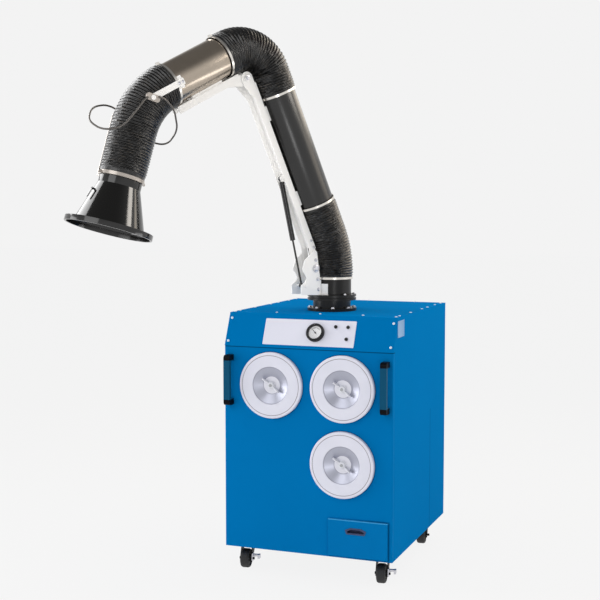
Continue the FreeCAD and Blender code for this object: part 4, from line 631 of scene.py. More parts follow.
class Finish(Enum):
    """The finishes of the machine."""

    CABINET = Coat("cabinet_paint", BLUE, roughness=0.7, grain=620.0, relief=0.22 * MM, tone=0.03,
                   shine=0.001)
    SIDE = Seamed("side_paint", BLUE, roughness=0.7, grain=620.0, relief=0.22 * MM, tone=0.03, shine=0.003)
    FRONT = FrontSkin("front_paint", BLUE, roughness=0.7, grain=620.0, relief=0.22 * MM, tone=0.03,
                      shine=0.01)
    # The drawer's lighter band along its top edge is a painted highlight, where light catches the edge.
    DRAWER = Banded("drawer_paint", BLUE, roughness=0.6, grain=620.0, relief=0.22 * MM, tone=0.03, shine=0.02,
                    low=254.8 * MM, high=260 * MM, second=srgb(64, 160, 214))
    PLATE = Coat("plate_paint", LAVENDER, roughness=0.42, grain=900.0, relief=0.08 * MM, tone=0.02,
                 shine=0.15)
    BLACK = Coat("black_plastic", srgb(16, 16, 20), roughness=0.4, grain=1100.0, relief=0.18 * MM, tone=0.1,
                 shine=0.25)
    HANDLE = Banded("handle_plastic", srgb(8, 9, 14), roughness=0.4, grain=1100.0, relief=0.18 * MM,
                    tone=0.08, shine=0.07, low=712 * MM, high=871 * MM, second=srgb(12, 76, 108))
    PULL = Coat("pull_plastic", srgb(66, 74, 104), roughness=0.5, grain=1100.0, relief=0.18 * MM, tone=0.1,
                shine=0.15)
    NEEDLE = Coat("needle_paint", srgb(20, 20, 22), roughness=0.4, grain=900.0, relief=0.04 * MM, tone=0.1)
    CASTING = Coat("base_casting", srgb(11, 10, 10), roughness=0.3, grain=420.0, relief=0.2 * MM, tone=0.15,
                   shine=0.3)
    WHITE = Coat("link_paint", srgb(250, 249, 247), roughness=0.36, grain=700.0, relief=0.15 * MM, tone=0.02,
                 shine=0.3)
    GLOSS = Coat("tube_black", srgb(8, 7, 6), roughness=0.26, grain=240.0, relief=0.03 * MM, tone=0.2,
                 shine=0.62)
    HOOD = Coat("hood_black", srgb(6, 5, 4), roughness=0.12, grain=300.0, relief=0.02 * MM, tone=0.2,
                shine=0.6)
    SPRING = Coat("spring_black", srgb(18, 18, 20), roughness=0.25, grain=500.0, relief=0.08 * MM, tone=0.1,
                  gloss=0.3)
    ROD = Coat("rod_black", srgb(34, 33, 34), roughness=0.2, grain=500.0, relief=0.04 * MM, tone=0.1,
               shine=0.5)
    MOTOR = Coat("motor_paint", srgb(92, 98, 104), roughness=0.45, grain=400.0, relief=0.3 * MM, tone=0.06)
    GREY = Coat("grey_plate", srgb(116, 156, 198), roughness=0.4, grain=900.0, relief=0.08 * MM, tone=0.06)
    CASTER = Coat("caster_black", srgb(12, 12, 16), roughness=0.45, grain=600.0, relief=0.12 * MM, tone=0.15,
                  shine=0.14)
    SCREW = Coat("screw_heads", srgb(226, 236, 246), roughness=0.3, grain=900.0, relief=0.04 * MM, tone=0.06,
                 gloss=0.3, shine=0.5)
    WIRE = Metal("ring_wire", srgb(104, 100, 96), roughness=0.3, bare=0.5)
    STEEL = Metal("inner_steel", srgb(172, 174, 178), roughness=0.36)
    ALUMINIUM = Metal("fan_aluminium", srgb(190, 192, 196), roughness=0.32)
    ZINC = Metal("zinc_steel", srgb(204, 204, 210), roughness=0.28)
    BAND = Metal("band_steel", srgb(224, 220, 214), roughness=0.2)
    BRIGHT = Metal("tube_bright", srgb(178, 166, 152), roughness=0.2, grain=(40.0, 40.0, 260.0),
                   relief=0.006 * MM)
    KNOB = Coat("knob_bright", srgb(222, 224, 232), roughness=0.28, grain=900.0, relief=0.04 * MM, tone=0.05,
                gloss=0.35, shine=0.5)
    CARRIER = Metal("carrier_steel", srgb(182, 174, 166), roughness=0.26, bare=0.5)
    RUBBER = WheelMix("wheel_rubber", srgb(20, 20, 22))
    MEDIA = Pleats("filter_media", srgb(206, 200, 184))
    LENS = ClearLens("lens")
    # The paler crest colour is a painted sheen on the ribs.
    HOSE = HoseCloth("hose_cloth", srgb(6, 5, 5), srgb(74, 67, 58))


CASTERS = ("front_left", "front_right", "rear_left", "rear_right")
NODE_FINISHES: dict[Finish, tuple[str, ...]] = {
    Finish.CABINET: ("base_pan", "side_panel_left", "back_panel", "top_cover"),
    Finish.SIDE: ("side_panel_right",),
    Finish.FRONT: ("front_panel",),
    Finish.DRAWER: ("dust_drawer",),
    Finish.PLATE: ("control_plate",),
    Finish.BLACK: ("gauge_case", "cable_gland", "push_button_1", "push_button_2", "push_button_3"),
    Finish.HANDLE: ("push_handles",),
    Finish.PULL: ("drawer_pull",),
    Finish.NEEDLE: ("gauge_needle",),
    Finish.LENS: ("gauge_lens",),
    Finish.STEEL: ("inner_partitions", "fan_housing"),
    Finish.MEDIA: ("filter_cartridges",),
    Finish.MOTOR: ("fan_motor",),
    Finish.ALUMINIUM: ("fan_wheel",),
    Finish.CASTER: ("caster_plates", *("caster_fork_" + place for place in CASTERS)),
    Finish.ZINC: ("brake_lever_front_left", "brake_lever_front_right"),
    Finish.KNOB: tuple("cover_knob_" + place for place in COVER_PLACES),
    Finish.RUBBER: tuple("caster_wheel_" + place for place in CASTERS),
    Finish.CASTING: ("swivel_base", "swivel_collar"),
    Finish.WHITE: ("shoulder_bracket", "lower_link", "upper_link", "hood_fork"),
    Finish.BAND: ("base_band", "lower_bands", "upper_bands"),
    Finish.GLOSS: ("lower_tube",),
    Finish.BRIGHT: ("upper_tube",),
    Finish.SPRING: ("gas_cylinder",),
    Finish.ROD: ("gas_rod",),
    Finish.CARRIER: ("hood_carrier",),
    Finish.WIRE: ("handle_ring",),
    Finish.HOOD: ("hood_cone", "hood_damper"),
    Finish.HOSE: ("base_hose", "elbow_hose", "hood_hose"),
}


class Palette:
    """Materials, each made once."""

    def __init__(self) -> None:
        """Start with nothing mixed."""
        self.mixed: dict[str, bpy.types.Material] = {}

    def get(self, finish: Any) -> bpy.types.Material:
        """Material of a finish, made when it is first asked for.

        Args:
            finish: A member of Finish, or a finish of one piece.

        Returns:
            The material.
        """
        recipe = finish.value if isinstance(finish, Finish) else finish
        if recipe.name not in self.mixed:
            self.mixed[recipe.name] = recipe.make()
        return self.mixed[recipe.name]

    def dress(self, piece: bpy.types.Object, finish: Any) -> None:
        """Give a piece one material all over."""
        piece.data.materials.clear()
        piece.data.materials.append(self.get(finish))

    def dress_node(self, name: str, finish: Any) -> None:
        """Give a node of the frame one material all over."""
        self.dress(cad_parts[name], finish)


class Bench:
    """Modelling moves that the sub-assemblies share."""

    @staticmethod
    def clear() -> None:
        """Deselect everything."""
        for item in list(bpy.context.selected_objects):
            item.select_set(False)
        bpy.context.view_layer.objects.active = None

    @staticmethod
    def hold(piece: bpy.types.Object) -> None:
        """Make one piece the only one selected."""
        Bench.clear()
        piece.select_set(True)
        bpy.context.view_layer.objects.active = piece

    @staticmethod
    def adopt(name: str) -> bpy.types.Object:
        """Name the shape that was just added and settle its place in its mesh.

        Args:
            name: The piece's name.

        Returns:
            The piece.
        """
        piece = bpy.context.active_object
        piece.name = name
        piece.data.name = name
        bpy.ops.object.transform_apply(location=True, rotation=True, scale=True)
        return piece

    @staticmethod
    def cylinder(name: str, radius: float, depth: float, sides: int = 32,
                 fill: str = "NGON") -> bpy.types.Object:
        """Start a piece from a cylinder that stands on the origin.

        Args:
            name: The piece's name.
            radius: Its radius in metres.
            depth: Its height in metres.
            sides: How many sides it has.
            fill: Whether its ends are closed.

        Returns:
            The piece.
        """
        Bench.clear()
        bpy.ops.mesh.primitive_cylinder_add(vertices=sides, radius=radius, depth=depth, end_fill_type=fill,
                                            location=(0, 0, depth / 2))
        return Bench.adopt(name)

    @staticmethod
    def turn(name: str, outline: Sequence[Pair], sides: int = 144) -> bpy.types.Object:
        """Draw a ring out along the Z axis, corner by corner, until its outline is closed.

        Args:
            name: The piece's name.
            outline: Radius and height of each corner, in metres.
            sides: How many sides it has.

        Returns:
            The piece.
        """
        Bench.clear()
        radius, level = outline[0]
        bpy.ops.mesh.primitive_circle_add(vertices=sides, radius=radius, location=(0, 0, level))
        piece = Bench.adopt(name)
        bpy.ops.object.mode_set(mode="EDIT")
        bpy.ops.mesh.select_mode(type="EDGE")
        bpy.ops.mesh.select_all(action="SELECT")
        for wide, high in (*outline[1:], outline[0]):
            bpy.ops.mesh.extrude_edges_move(TRANSFORM_OT_translate={"value": (0, 0, high - level)})
            bpy.ops.transform.resize(value=(wide / radius, wide / radius, 1))
            radius, level = wide, high
        bpy.ops.mesh.select_all(action="SELECT")
        bpy.ops.mesh.remove_doubles(threshold=0.01 * MM)
        bpy.ops.mesh.normals_make_consistent(inside=False)
        Bench.leave()
        return piece

    @staticmethod
    def block(name: str, size: Sequence[float]) -> bpy.types.Object:
        """Start a piece from a block that stands on the origin."""
        Bench.clear()
        bpy.ops.mesh.primitive_cube_add(size=1, location=(0, 0, size[2] / 2), scale=size)
        return Bench.adopt(name)

    @staticmethod
    def pick(piece: bpy.types.Object, test: Callable[[Vector, Vector], bool]) -> None:
        """Enter edit mode with the faces selected whose centre and normal pass a test.

        Args:
            piece: The piece.
            test: Takes a face's centre and normal.
        """
        Bench.hold(piece)
        bpy.ops.object.mode_set(mode="EDIT")
        bpy.ops.mesh.select_mode(type="FACE")
        bpy.ops.mesh.select_all(action="DESELECT")
        mesh = bmesh.from_edit_mesh(piece.data)
        for face in mesh.faces:
            if test(face.calc_center_median(), face.normal):
                face.select_set(True)
        bmesh.update_edit_mesh(piece.data)

    @staticmethod
    def leave() -> None:
        """Leave edit mode."""
        bpy.ops.object.mode_set(mode="OBJECT")

    @staticmethod
    def sink_top(piece: bpy.types.Object, level: float, inset: float, depth: float) -> None:
        """Inset the top face and push it down, or up where the depth is negative.

        Args:
            piece: The piece.
            level: Height above which a face counts as the top.
            inset: Width of the rim that is left.
            depth: How far the face goes down.
        """
        Bench.pick(piece, lambda centre, normal: normal.z > 0.9 and centre.z > level)
        bpy.ops.mesh.inset(thickness=inset)
        bpy.ops.mesh.extrude_region_move(TRANSFORM_OT_translate={"value": (0, 0, -depth)})
        Bench.leave()

    @staticmethod
    def modify(piece: bpy.types.Object, kind: str, **settings: Any) -> None:
        """Add a modifier and apply it.

        Args:
            piece: The piece.
            kind: The modifier's type.
            settings: Its settings.
        """
        Bench.hold(piece)
        made = piece.modifiers.new(kind.title(), kind)
        for key, value in settings.items():
            setattr(made, key, value)
        bpy.ops.object.modifier_apply(modifier=made.name)

    @staticmethod
    def bevel(piece: bpy.types.Object, width: float, segments: int = 2) -> None:
        """Round the sharp edges."""
        Bench.modify(piece, "BEVEL", width=width, segments=segments, limit_method="ANGLE",
                     angle_limit=math.radians(40))

    @staticmethod
    def smooth(piece: bpy.types.Object, angle: float = 35.0) -> None:
        """Shade smooth across gentle edges."""
        Bench.hold(piece)
        bpy.ops.object.shade_smooth_by_angle(angle=math.radians(angle))

    @staticmethod
    def stand(piece: bpy.types.Object, at: Vector, axis: Vector, spin: float = 0.0) -> bpy.types.Object:
        """Move a piece drawn up the Z axis so that it stands on a point along an axis.

        Args:
            piece: The piece.
            at: Where its foot goes.
            axis: Where its top points.
            spin: Turn about its own axis, in radians.

        Returns:
            The piece.
        """
        Bench.hold(piece)
        turn = Vector((0, 0, 1)).rotation_difference(Vector(axis)).to_matrix().to_4x4()
        piece.matrix_world = Matrix.Translation(Vector(at)) @ turn @ Matrix.Rotation(spin, 4, "Z")
        bpy.ops.object.transform_apply(location=True, rotation=True, scale=True)
        return piece

    @staticmethod
    def copy(piece: bpy.types.Object) -> bpy.types.Object:
        """Copy a piece with its own mesh.

        Args:
            piece: The piece.

        Returns:
            The copy.
        """
        twin = piece.copy()
        twin.data = piece.data.copy()
        bpy.context.collection.objects.link(twin)
        return twin

    @staticmethod
    def join(pieces: Sequence[bpy.types.Object], name: str) -> bpy.types.Object:
        """Join pieces into one named piece.

        Args:
            pieces: The pieces, the first of which takes in the others.
            name: Name of the whole.

        Returns:
            The whole.
        """
        Bench.clear()
        for piece in pieces:
            piece.select_set(True)
        bpy.context.view_layer.objects.active = pieces[0]
        bpy.ops.object.join()
        whole = bpy.context.active_object
        whole.name = name
        whole.data.name = name
        return whole

    @staticmethod
    def scatter(seed: bpy.types.Object, name: str, places: Sequence[tuple]) -> bpy.types.Object:
        """Stand a copy of a small part on each place and join them.

        Args:
            seed: The part, drawn up the Z axis.
            name: Name of the joined piece.
            places: Point, axis and spin of each copy.

        Returns:
            The joined piece.
        """
        copies = [Bench.stand(Bench.copy(seed), *place) for place in places]
        bpy.data.objects.remove(seed)
        return Bench.join(copies, name)


@dataclass
class Fasteners:
    """Screws and bolts, drawn up the Z axis."""

    screw_radius: float = 5.2 * MM
    screw_height: float = 2.6 * MM
    screw_round: float = 0.9 * MM
    socket_radius: float = 2.2 * MM
    socket_depth: float = 1.2 * MM

    def screw(self) -> bpy.types.Object:
        """Button-head screw with a round socket."""
        head = Bench.cylinder("screw", self.screw_radius, self.screw_height, 20)
        Bench.bevel(head, self.screw_round)
        inset = self.screw_radius - self.screw_round - self.socket_radius
        Bench.sink_top(head, self.screw_height * 0.9, inset, self.socket_depth)
        Bench.smooth(head)
        return head

    def bolt(self, flats: float, height: float) -> bpy.types.Object:
        """Hexagon bolt on a round washer.

        Args:
            flats: Radius of the hexagon.
            height: Height of the head.

        Returns:
            The bolt.
        """
        washer = Bench.cylinder("washer", flats * 1.35, height * 0.25, 28)
        Bench.bevel(washer, height * 0.06)
        head = Bench.cylinder("head", flats, height, 6)
        Bench.bevel(head, height * 0.12)
        Bench.sink_top(head, height * 0.9, flats * 0.18, -height * 0.08)
        bolt = Bench.join([washer, head], "bolt")
        Bench.smooth(bolt, 25.0)
        return bolt

    @staticmethod
    def fit(palette: Palette, name: str, body: str, seed: bpy.types.Object, places: Sequence[tuple],
            finish: Finish = Finish.ZINC) -> bpy.types.Object:
        """Stand a screw or bolt on each place, as one piece that moves with a body.

        Args:
            palette: The materials.
            name: The piece's name.
            body: Body that it moves with.
            seed: The screw or bolt.
            places: Point, axis and spin of each copy.
            finish: Its finish.

        Returns:
            The piece.
        """
        piece = Bench.scatter(seed, name, places)
        palette.dress(piece, finish)
        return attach(piece, body)


@dataclass
class Slant:
    """The cabinet's sloped face: its lower edge, and the directions up it and out of it."""

    front: float = -410 * MM
    height: float = 927 * MM
    setback: float = 58 * MM
    rise: float = 130 * MM

    def up(self) -> Vector:
        """Direction up the slope."""
        return Vector((0, self.setback, self.rise)).normalized()

    def out(self) -> Vector:
        """Direction out of the slope."""
        return Vector((0, -self.rise, self.setback)).normalized()

    def point(self, across: float, along: float, proud: float = 0.0) -> Vector:
        """Point on the slope, by its place across, up and out, in metres."""
        return Vector((across, self.front, self.height)) + self.up() * along + self.out() * proud


@dataclass
class Cabinet:
    """Screws, bare data plate and gauge dial of the cabinet."""

    half_width: float = 355 * MM
    top: float = 1057 * MM
    back: float = 410 * MM
    screw_inset: float = 13 * MM
    slope_screws: tuple[float, ...] = (20 * MM, 118 * MM)
    front_row: float = -310 * MM
    front_screws: tuple[float, ...] = (-167 * MM, 20 * MM, 200 * MM)
    side_screws: tuple[float, ...] = (-330 * MM, -282 * MM, -121 * MM, 53 * MM, 142 * MM, 270 * MM, 365 * MM)
    rear_screws: tuple[float, ...] = (-220 * MM, 0.0, 220 * MM)
    back_screws: tuple[float, ...] = (150 * MM, 420 * MM, 700 * MM, 980 * MM)
    plate_low: Pair = (-352 * MM, 978 * MM)
    plate_high: Pair = (-263 * MM, 1043 * MM)
    plate_sheet: float = 1.2 * MM
    plate_frame: float = 2.5 * MM
    plate_sink: float = 0.4 * MM
    plate_round: float = 0.3 * MM
    rivet_radius: float = 2 * MM
    rivet_height: float = 1.6 * MM
    rivet_round: float = 0.7 * MM
    rivet_inset: float = 7 * MM
    gauge: Triple = (27.5 * MM, 66.8 * MM, 5.55 * MM)
    dial_radius: float = 27.6 * MM
    dial_sheet: float = 0.4 * MM
    dial_rim: float = 1.2 * MM
    dial_sink: float = 0.15 * MM
    dial_round: float = 0.08 * MM

    def build(self, palette: Palette) -> list[bpy.types.Object]:
        """Model and dress the pieces."""
        return [self.screws(palette), self.data_plate(palette), self.dial(palette)]

    def screws(self, palette: Palette) -> bpy.types.Object:
        """Bright screws along the edges of the top, slope and back.

        Args:
            palette: The materials.

        Returns:
            The piece.
        """
        slant = Slant()
        up = Vector((0, 0, 1))
        behind = Vector((0, 1, 0))
        edge = self.half_width - self.screw_inset
        rear = self.back - self.screw_inset
        places = [(Vector((x, self.front_row, self.top)), up, x) for x in self.front_screws]
        places += [(Vector((x, rear, self.top)), up, x) for x in self.rear_screws]
        for side in (-edge, edge):
            places += [(slant.point(side, along), slant.out(), 0.3 * along) for along in self.slope_screws]
            places += [(Vector((side, y, self.top)), up, y) for y in self.side_screws]
            places += [(Vector((side, self.back, z)), behind, z) for z in self.back_screws]
        kit = Fasteners()
        return kit.fit(palette, "cabinet_screws", "cabinet", kit.screw(), places, Finish.SCREW)

    def data_plate(self, palette: Palette) -> bpy.types.Object:
        """Bare grey plate on the right side with its four rivets.

        Args:
            palette: The materials.

        Returns:
            The piece.
        """
        low, high = Vector((0, *self.plate_low)), Vector((0, *self.plate_high))
        _, width, height = high - low
        plate = Bench.block("bare_plate", (height, width, self.plate_sheet))
        Bench.sink_top(plate, 0.0, self.plate_frame, self.plate_sink)
        Bench.bevel(plate, self.plate_round)
        rivet = Bench.cylinder("rivet", self.rivet_radius, self.rivet_height, 16)
        Bench.bevel(rivet, self.rivet_round)
        corner = Vector((height / 2 - self.rivet_inset, width / 2 - self.rivet_inset, 0))
        rivets = Bench.scatter(rivet, "rivets", [(corner * Vector((i, j, 0)), Vector((0, 0, 1)))
                                                 for i in (-1, 1) for j in (-1, 1)])
        plate = Bench.join([plate, rivets], "bare_plate")
        Bench.stand(plate, Vector((self.half_width, 0, 0)) + (low + high) / 2, Vector((1, 0, 0)))
        Bench.smooth(plate)
        palette.dress(plate, Finish.GREY)
        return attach(plate, "cabinet")

    def dial(self, palette: Palette) -> bpy.types.Object:
        """White dial of the gauge with a raised rim and plain marks.

        Args:
            palette: The materials.

        Returns:
            The piece.
        """
        slant = Slant()
        dial = Bench.cylinder("gauge_dial", self.dial_radius, self.dial_sheet, 64)
        Bench.sink_top(dial, self.dial_sheet * 0.75, self.dial_rim, self.dial_sink)
        Bench.bevel(dial, self.dial_round)
        centre = slant.point(*self.gauge)
        Bench.stand(dial, centre, slant.out())
        Bench.smooth(dial)
        palette.dress(dial, DialPrint("dial_print", tuple(centre), (1.0, 0.0, 0.0), tuple(slant.up())))
        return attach(dial, "cabinet")


@dataclass
class Covers:
    """The three round filter covers: two-tone finish of each."""

    ring: Colour = LAVENDER
    dish: Colour = srgb(178, 180, 194)

    def build(self, palette: Palette) -> list[bpy.types.Object]:
        """Dress the covers.

        Args:
            palette: The materials.

        Returns:
            No pieces, because the covers keep their own shapes.
        """
        for name, place in COVER_PLACES.items():
            finish = RoundCover("cover_paint_" + name, place, self.ring, self.dish)
            palette.dress_node("filter_cover_" + name, finish)
        return []


@dataclass
class ArmPlane:
    """The arm's upright plane: reach from the swivel axis, sideways place and height, in metres."""

    axis_y: float = -112 * MM
    heading: float = math.radians(235)

    def ground(self, reach: Number, side: Number) -> tuple[Number, Number]:
        """X and Y of one place or of many."""
        return (reach * math.cos(self.heading) - side * math.sin(self.heading),
                self.axis_y + reach * math.sin(self.heading) + side * math.cos(self.heading))

    def point(self, reach: float, side: float, height: float) -> Vector:
        """Point of the shared frame."""
        return Vector((*self.ground(reach, side), height))

    def sideways(self) -> Vector:
        """Direction out of the plane, towards the arm's near side."""
        return Vector((-math.sin(self.heading), math.cos(self.heading), 0))


@dataclass
class Hose:
    """Ribbed hose that runs straight, round one bend and straight again.

    Attributes:
        name: Name of the piece.
        node: Node that it stands for.
        bodies: Bodies at its start and its end, not used.
        corner: Reach and height where its two straight axes meet.
        tilt: Angle of its start from upright, in radians.
        turn: Angle of its bend, in radians.
        lead: Straight length before the bend.
        tangent: Length from the bend's start to its corner.
        tail: Straight length after the bend.
        seed: Seed of its creases.
        root: Radius between the ribs.
        crest: Radius on the ribs.
        pitch: Length from rib to rib.
        cuff: Length over which the ribs rise at each end.
        plain: Share of that length that stays plain before they do.
        sides: Points round the hose.
        steps: Rings for each rib.
        wall: Thickness of the cloth.
        creases: Creases round the hose.
        crease_depth: Depth of the creases each way.
        crease_twist: Spaces that the creases shift by from row to row.
        crest_hold: Share of a crease that the ribs keep flat.
        rib_power: How narrow the ribs are.
        rib_sway: Share of the pitch that a crease pushes the ribs by.
        facet: Angle in degrees up to which edges are shaded smooth.
    """

    name: str
    node: str
    bodies: tuple[str, str]
    corner: Pair
    tilt: float
    turn: float
    lead: float
    tangent: float
    tail: float
    seed: int
    root: float = 83.9 * MM
    crest: float = 88.2 * MM
    pitch: float = 10.2 * MM
    cuff: float = 11 * MM
    plain: float = 0.8
    sides: int = 96
    steps: int = 8
    wall: float = 1.2 * MM
    creases: int = 38
    crease_depth: float = 1.7 * MM
    crease_twist: float = 0.7
    crest_hold: float = 0.75
    rib_power: float = 1.2
    rib_sway: float = 0.07
    facet: float = 70.0

    def radius(self) -> float:
        """Radius of the bend."""
        return self.tangent / math.tan(self.turn / 2)

    def length(self) -> float:
        """Length along the middle."""
        return self.lead + self.radius() * self.turn + self.tail

    def middle(self, along: np.ndarray) -> tuple[np.ndarray, np.ndarray]:
        """Places and angles of the middle line.

        Args:
            along: Lengths from the start.

        Returns:
            Reach and height of each place, and the angle from upright there.
        """
        radius = self.radius()
        before = np.minimum(along, self.lead)
        swept = np.clip(along - self.lead, 0, radius * self.turn) / radius
        after = np.clip(along - self.lead - radius * self.turn, 0, None)
        angle = self.tilt + swept
        side = radius * (1 - np.cos(swept))
        ahead = before + radius * np.sin(swept) - self.lead - self.tangent
        lean, rise = math.sin(self.tilt), math.cos(self.tilt)
        reach = self.corner[0] + ahead * lean + side * rise + after * np.sin(angle)
        height = self.corner[1] + ahead * rise - side * lean + after * np.cos(angle)
        return np.stack([reach, height], axis=1), angle

    def creased(self, along: np.ndarray, angle: np.ndarray) -> np.ndarray:
        """Depth of the cloth's creases, from minus one to one.

        Args:
            along: Lengths from the start.
            angle: Angles round the hose.

        Returns:
            The depth at each place.
        """
        rows = int(self.length() / self.pitch) + 4
        table = np.random.default_rng(self.seed).uniform(-1, 1, (rows * 2, self.creases))
        row = along / self.pitch * 2 + 0.5
        column = (angle / math.tau * self.creases + row * self.crease_twist) % self.creases
        low = np.floor(row).astype(int)
        left = np.floor(column).astype(int)
        down, right = (share * share * (3 - 2 * share) for share in (row - low, column - left))

        def across(line: np.ndarray) -> np.ndarray:
            """Depth between the two nearest creases of each row."""
            near, far = table[line, left % self.creases], table[line, (left + 1) % self.creases]
            return near * (1 - right) + far * right

        return across(low) * (1 - down) + across(low + 1) * down

    def build(self, palette: Palette) -> bpy.types.Object:
        """Model the hose as a straight tube of rings, then lay it along its line with ribs and creases.

        Args:
            palette: The materials.

        Returns:
            The piece.
        """
        count = int(round(self.length() / self.pitch * self.steps))
        step = self.length() / count
        tube = Bench.cylinder(self.name, self.root, step, self.sides, "NOTHING")
        Bench.modify(tube, "ARRAY", use_relative_offset=False, use_constant_offset=True,
                     constant_offset_displace=(0, 0, step), count=count, use_merge_vertices=True,
                     merge_threshold=step / 20)
        self.shape(tube)
        Bench.modify(tube, "SOLIDIFY", thickness=self.wall, offset=-1.0)
        Bench.smooth(tube, self.facet)
        palette.dress(tube, Finish.HOSE)
        ends, _ = self.middle(np.array([0.0, self.length()]))
        start, end = (ArmPlane().point(reach, 0, height) for reach, height in ends)
        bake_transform(tube)
        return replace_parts(tube, self.node)

    def shape(self, tube: bpy.types.Object) -> None:
        """Move each ring's points onto the hose's line, out to the ribs and into the creases.

        Args:
            tube: Straight tube of rings that stands on the origin.
        """
        flat = np.empty(len(tube.data.vertices) * 3)
        tube.data.vertices.foreach_get("co", flat)
        local = flat.reshape(-1, 3)
        along = np.clip(local[:, 2], 0, self.length())
        angle = np.arctan2(local[:, 1], local[:, 0])
        inner = np.clip(np.minimum(along, self.length() - along) / self.cuff - self.plain, 0, 1)
        crumple = self.creased(along, angle)
        turns = along / self.pitch + angle / math.tau + self.rib_sway * crumple
        wave = 0.5 + 0.5 * np.cos(math.tau * turns)
        rib = wave ** self.rib_power * inner
        fold = crumple * inner * (1 - self.crest_hold * wave)
        radius = self.root + (self.crest - self.root) * rib + self.crease_depth * fold
        middle, lean = self.middle(along)
        out = radius * np.cos(angle)
        reach = middle[:, 0] + out * np.cos(lean)
        height = middle[:, 1] - out * np.sin(lean)
        placed = np.stack([*ArmPlane().ground(reach, radius * np.sin(angle)), height], axis=1)
        tube.data.vertices.foreach_set("co", placed.ravel())
        crest = tube.data.attributes.new("crest", "FLOAT", "POINT")
        crest.data.foreach_set("value", (rib + 0.25 * fold).astype(np.float32))
        tube.data.update()


@dataclass
class Turned:
    """Round sheet piece of the arm, turned about its own axis.

    Attributes:
        name: Name of the piece.
        node: Node that it stands for.
        body: Body that it moves with.
        finish: Its finish.
        foot: Reach and height where its axis starts.
        lean: Angle of its axis from upright, in radians.
        outline: Radius and place along the axis of each corner.
        edge: Rounding of its edges.
        rounds: Steps of that rounding.
        facet: Angle in degrees up to which edges are shaded smooth.
    """

    name: str
    node: str
    body: str
    finish: Finish
    foot: Pair
    lean: float
    outline: Sequence[Pair]
    edge: float
    rounds: int = 5
    facet: float = 16.5

    def build(self, palette: Palette) -> bpy.types.Object:
        """Model and dress the piece.

        Args:
            palette: The materials.

        Returns:
            The piece.
        """
        piece = Bench.turn(self.name, self.outline)
        Bench.bevel(piece, self.edge, self.rounds)
        Bench.smooth(piece, self.facet)
        plane = ArmPlane()
        foot = plane.point(self.foot[0], 0, self.foot[1])
        ahead = plane.point(self.foot[0] + math.sin(self.lean), 0, self.foot[1] + math.cos(self.lean))
        Bench.stand(piece, foot, ahead - foot)
        palette.dress(piece, self.finish)
        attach(piece, self.body)
        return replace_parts(piece, self.node)


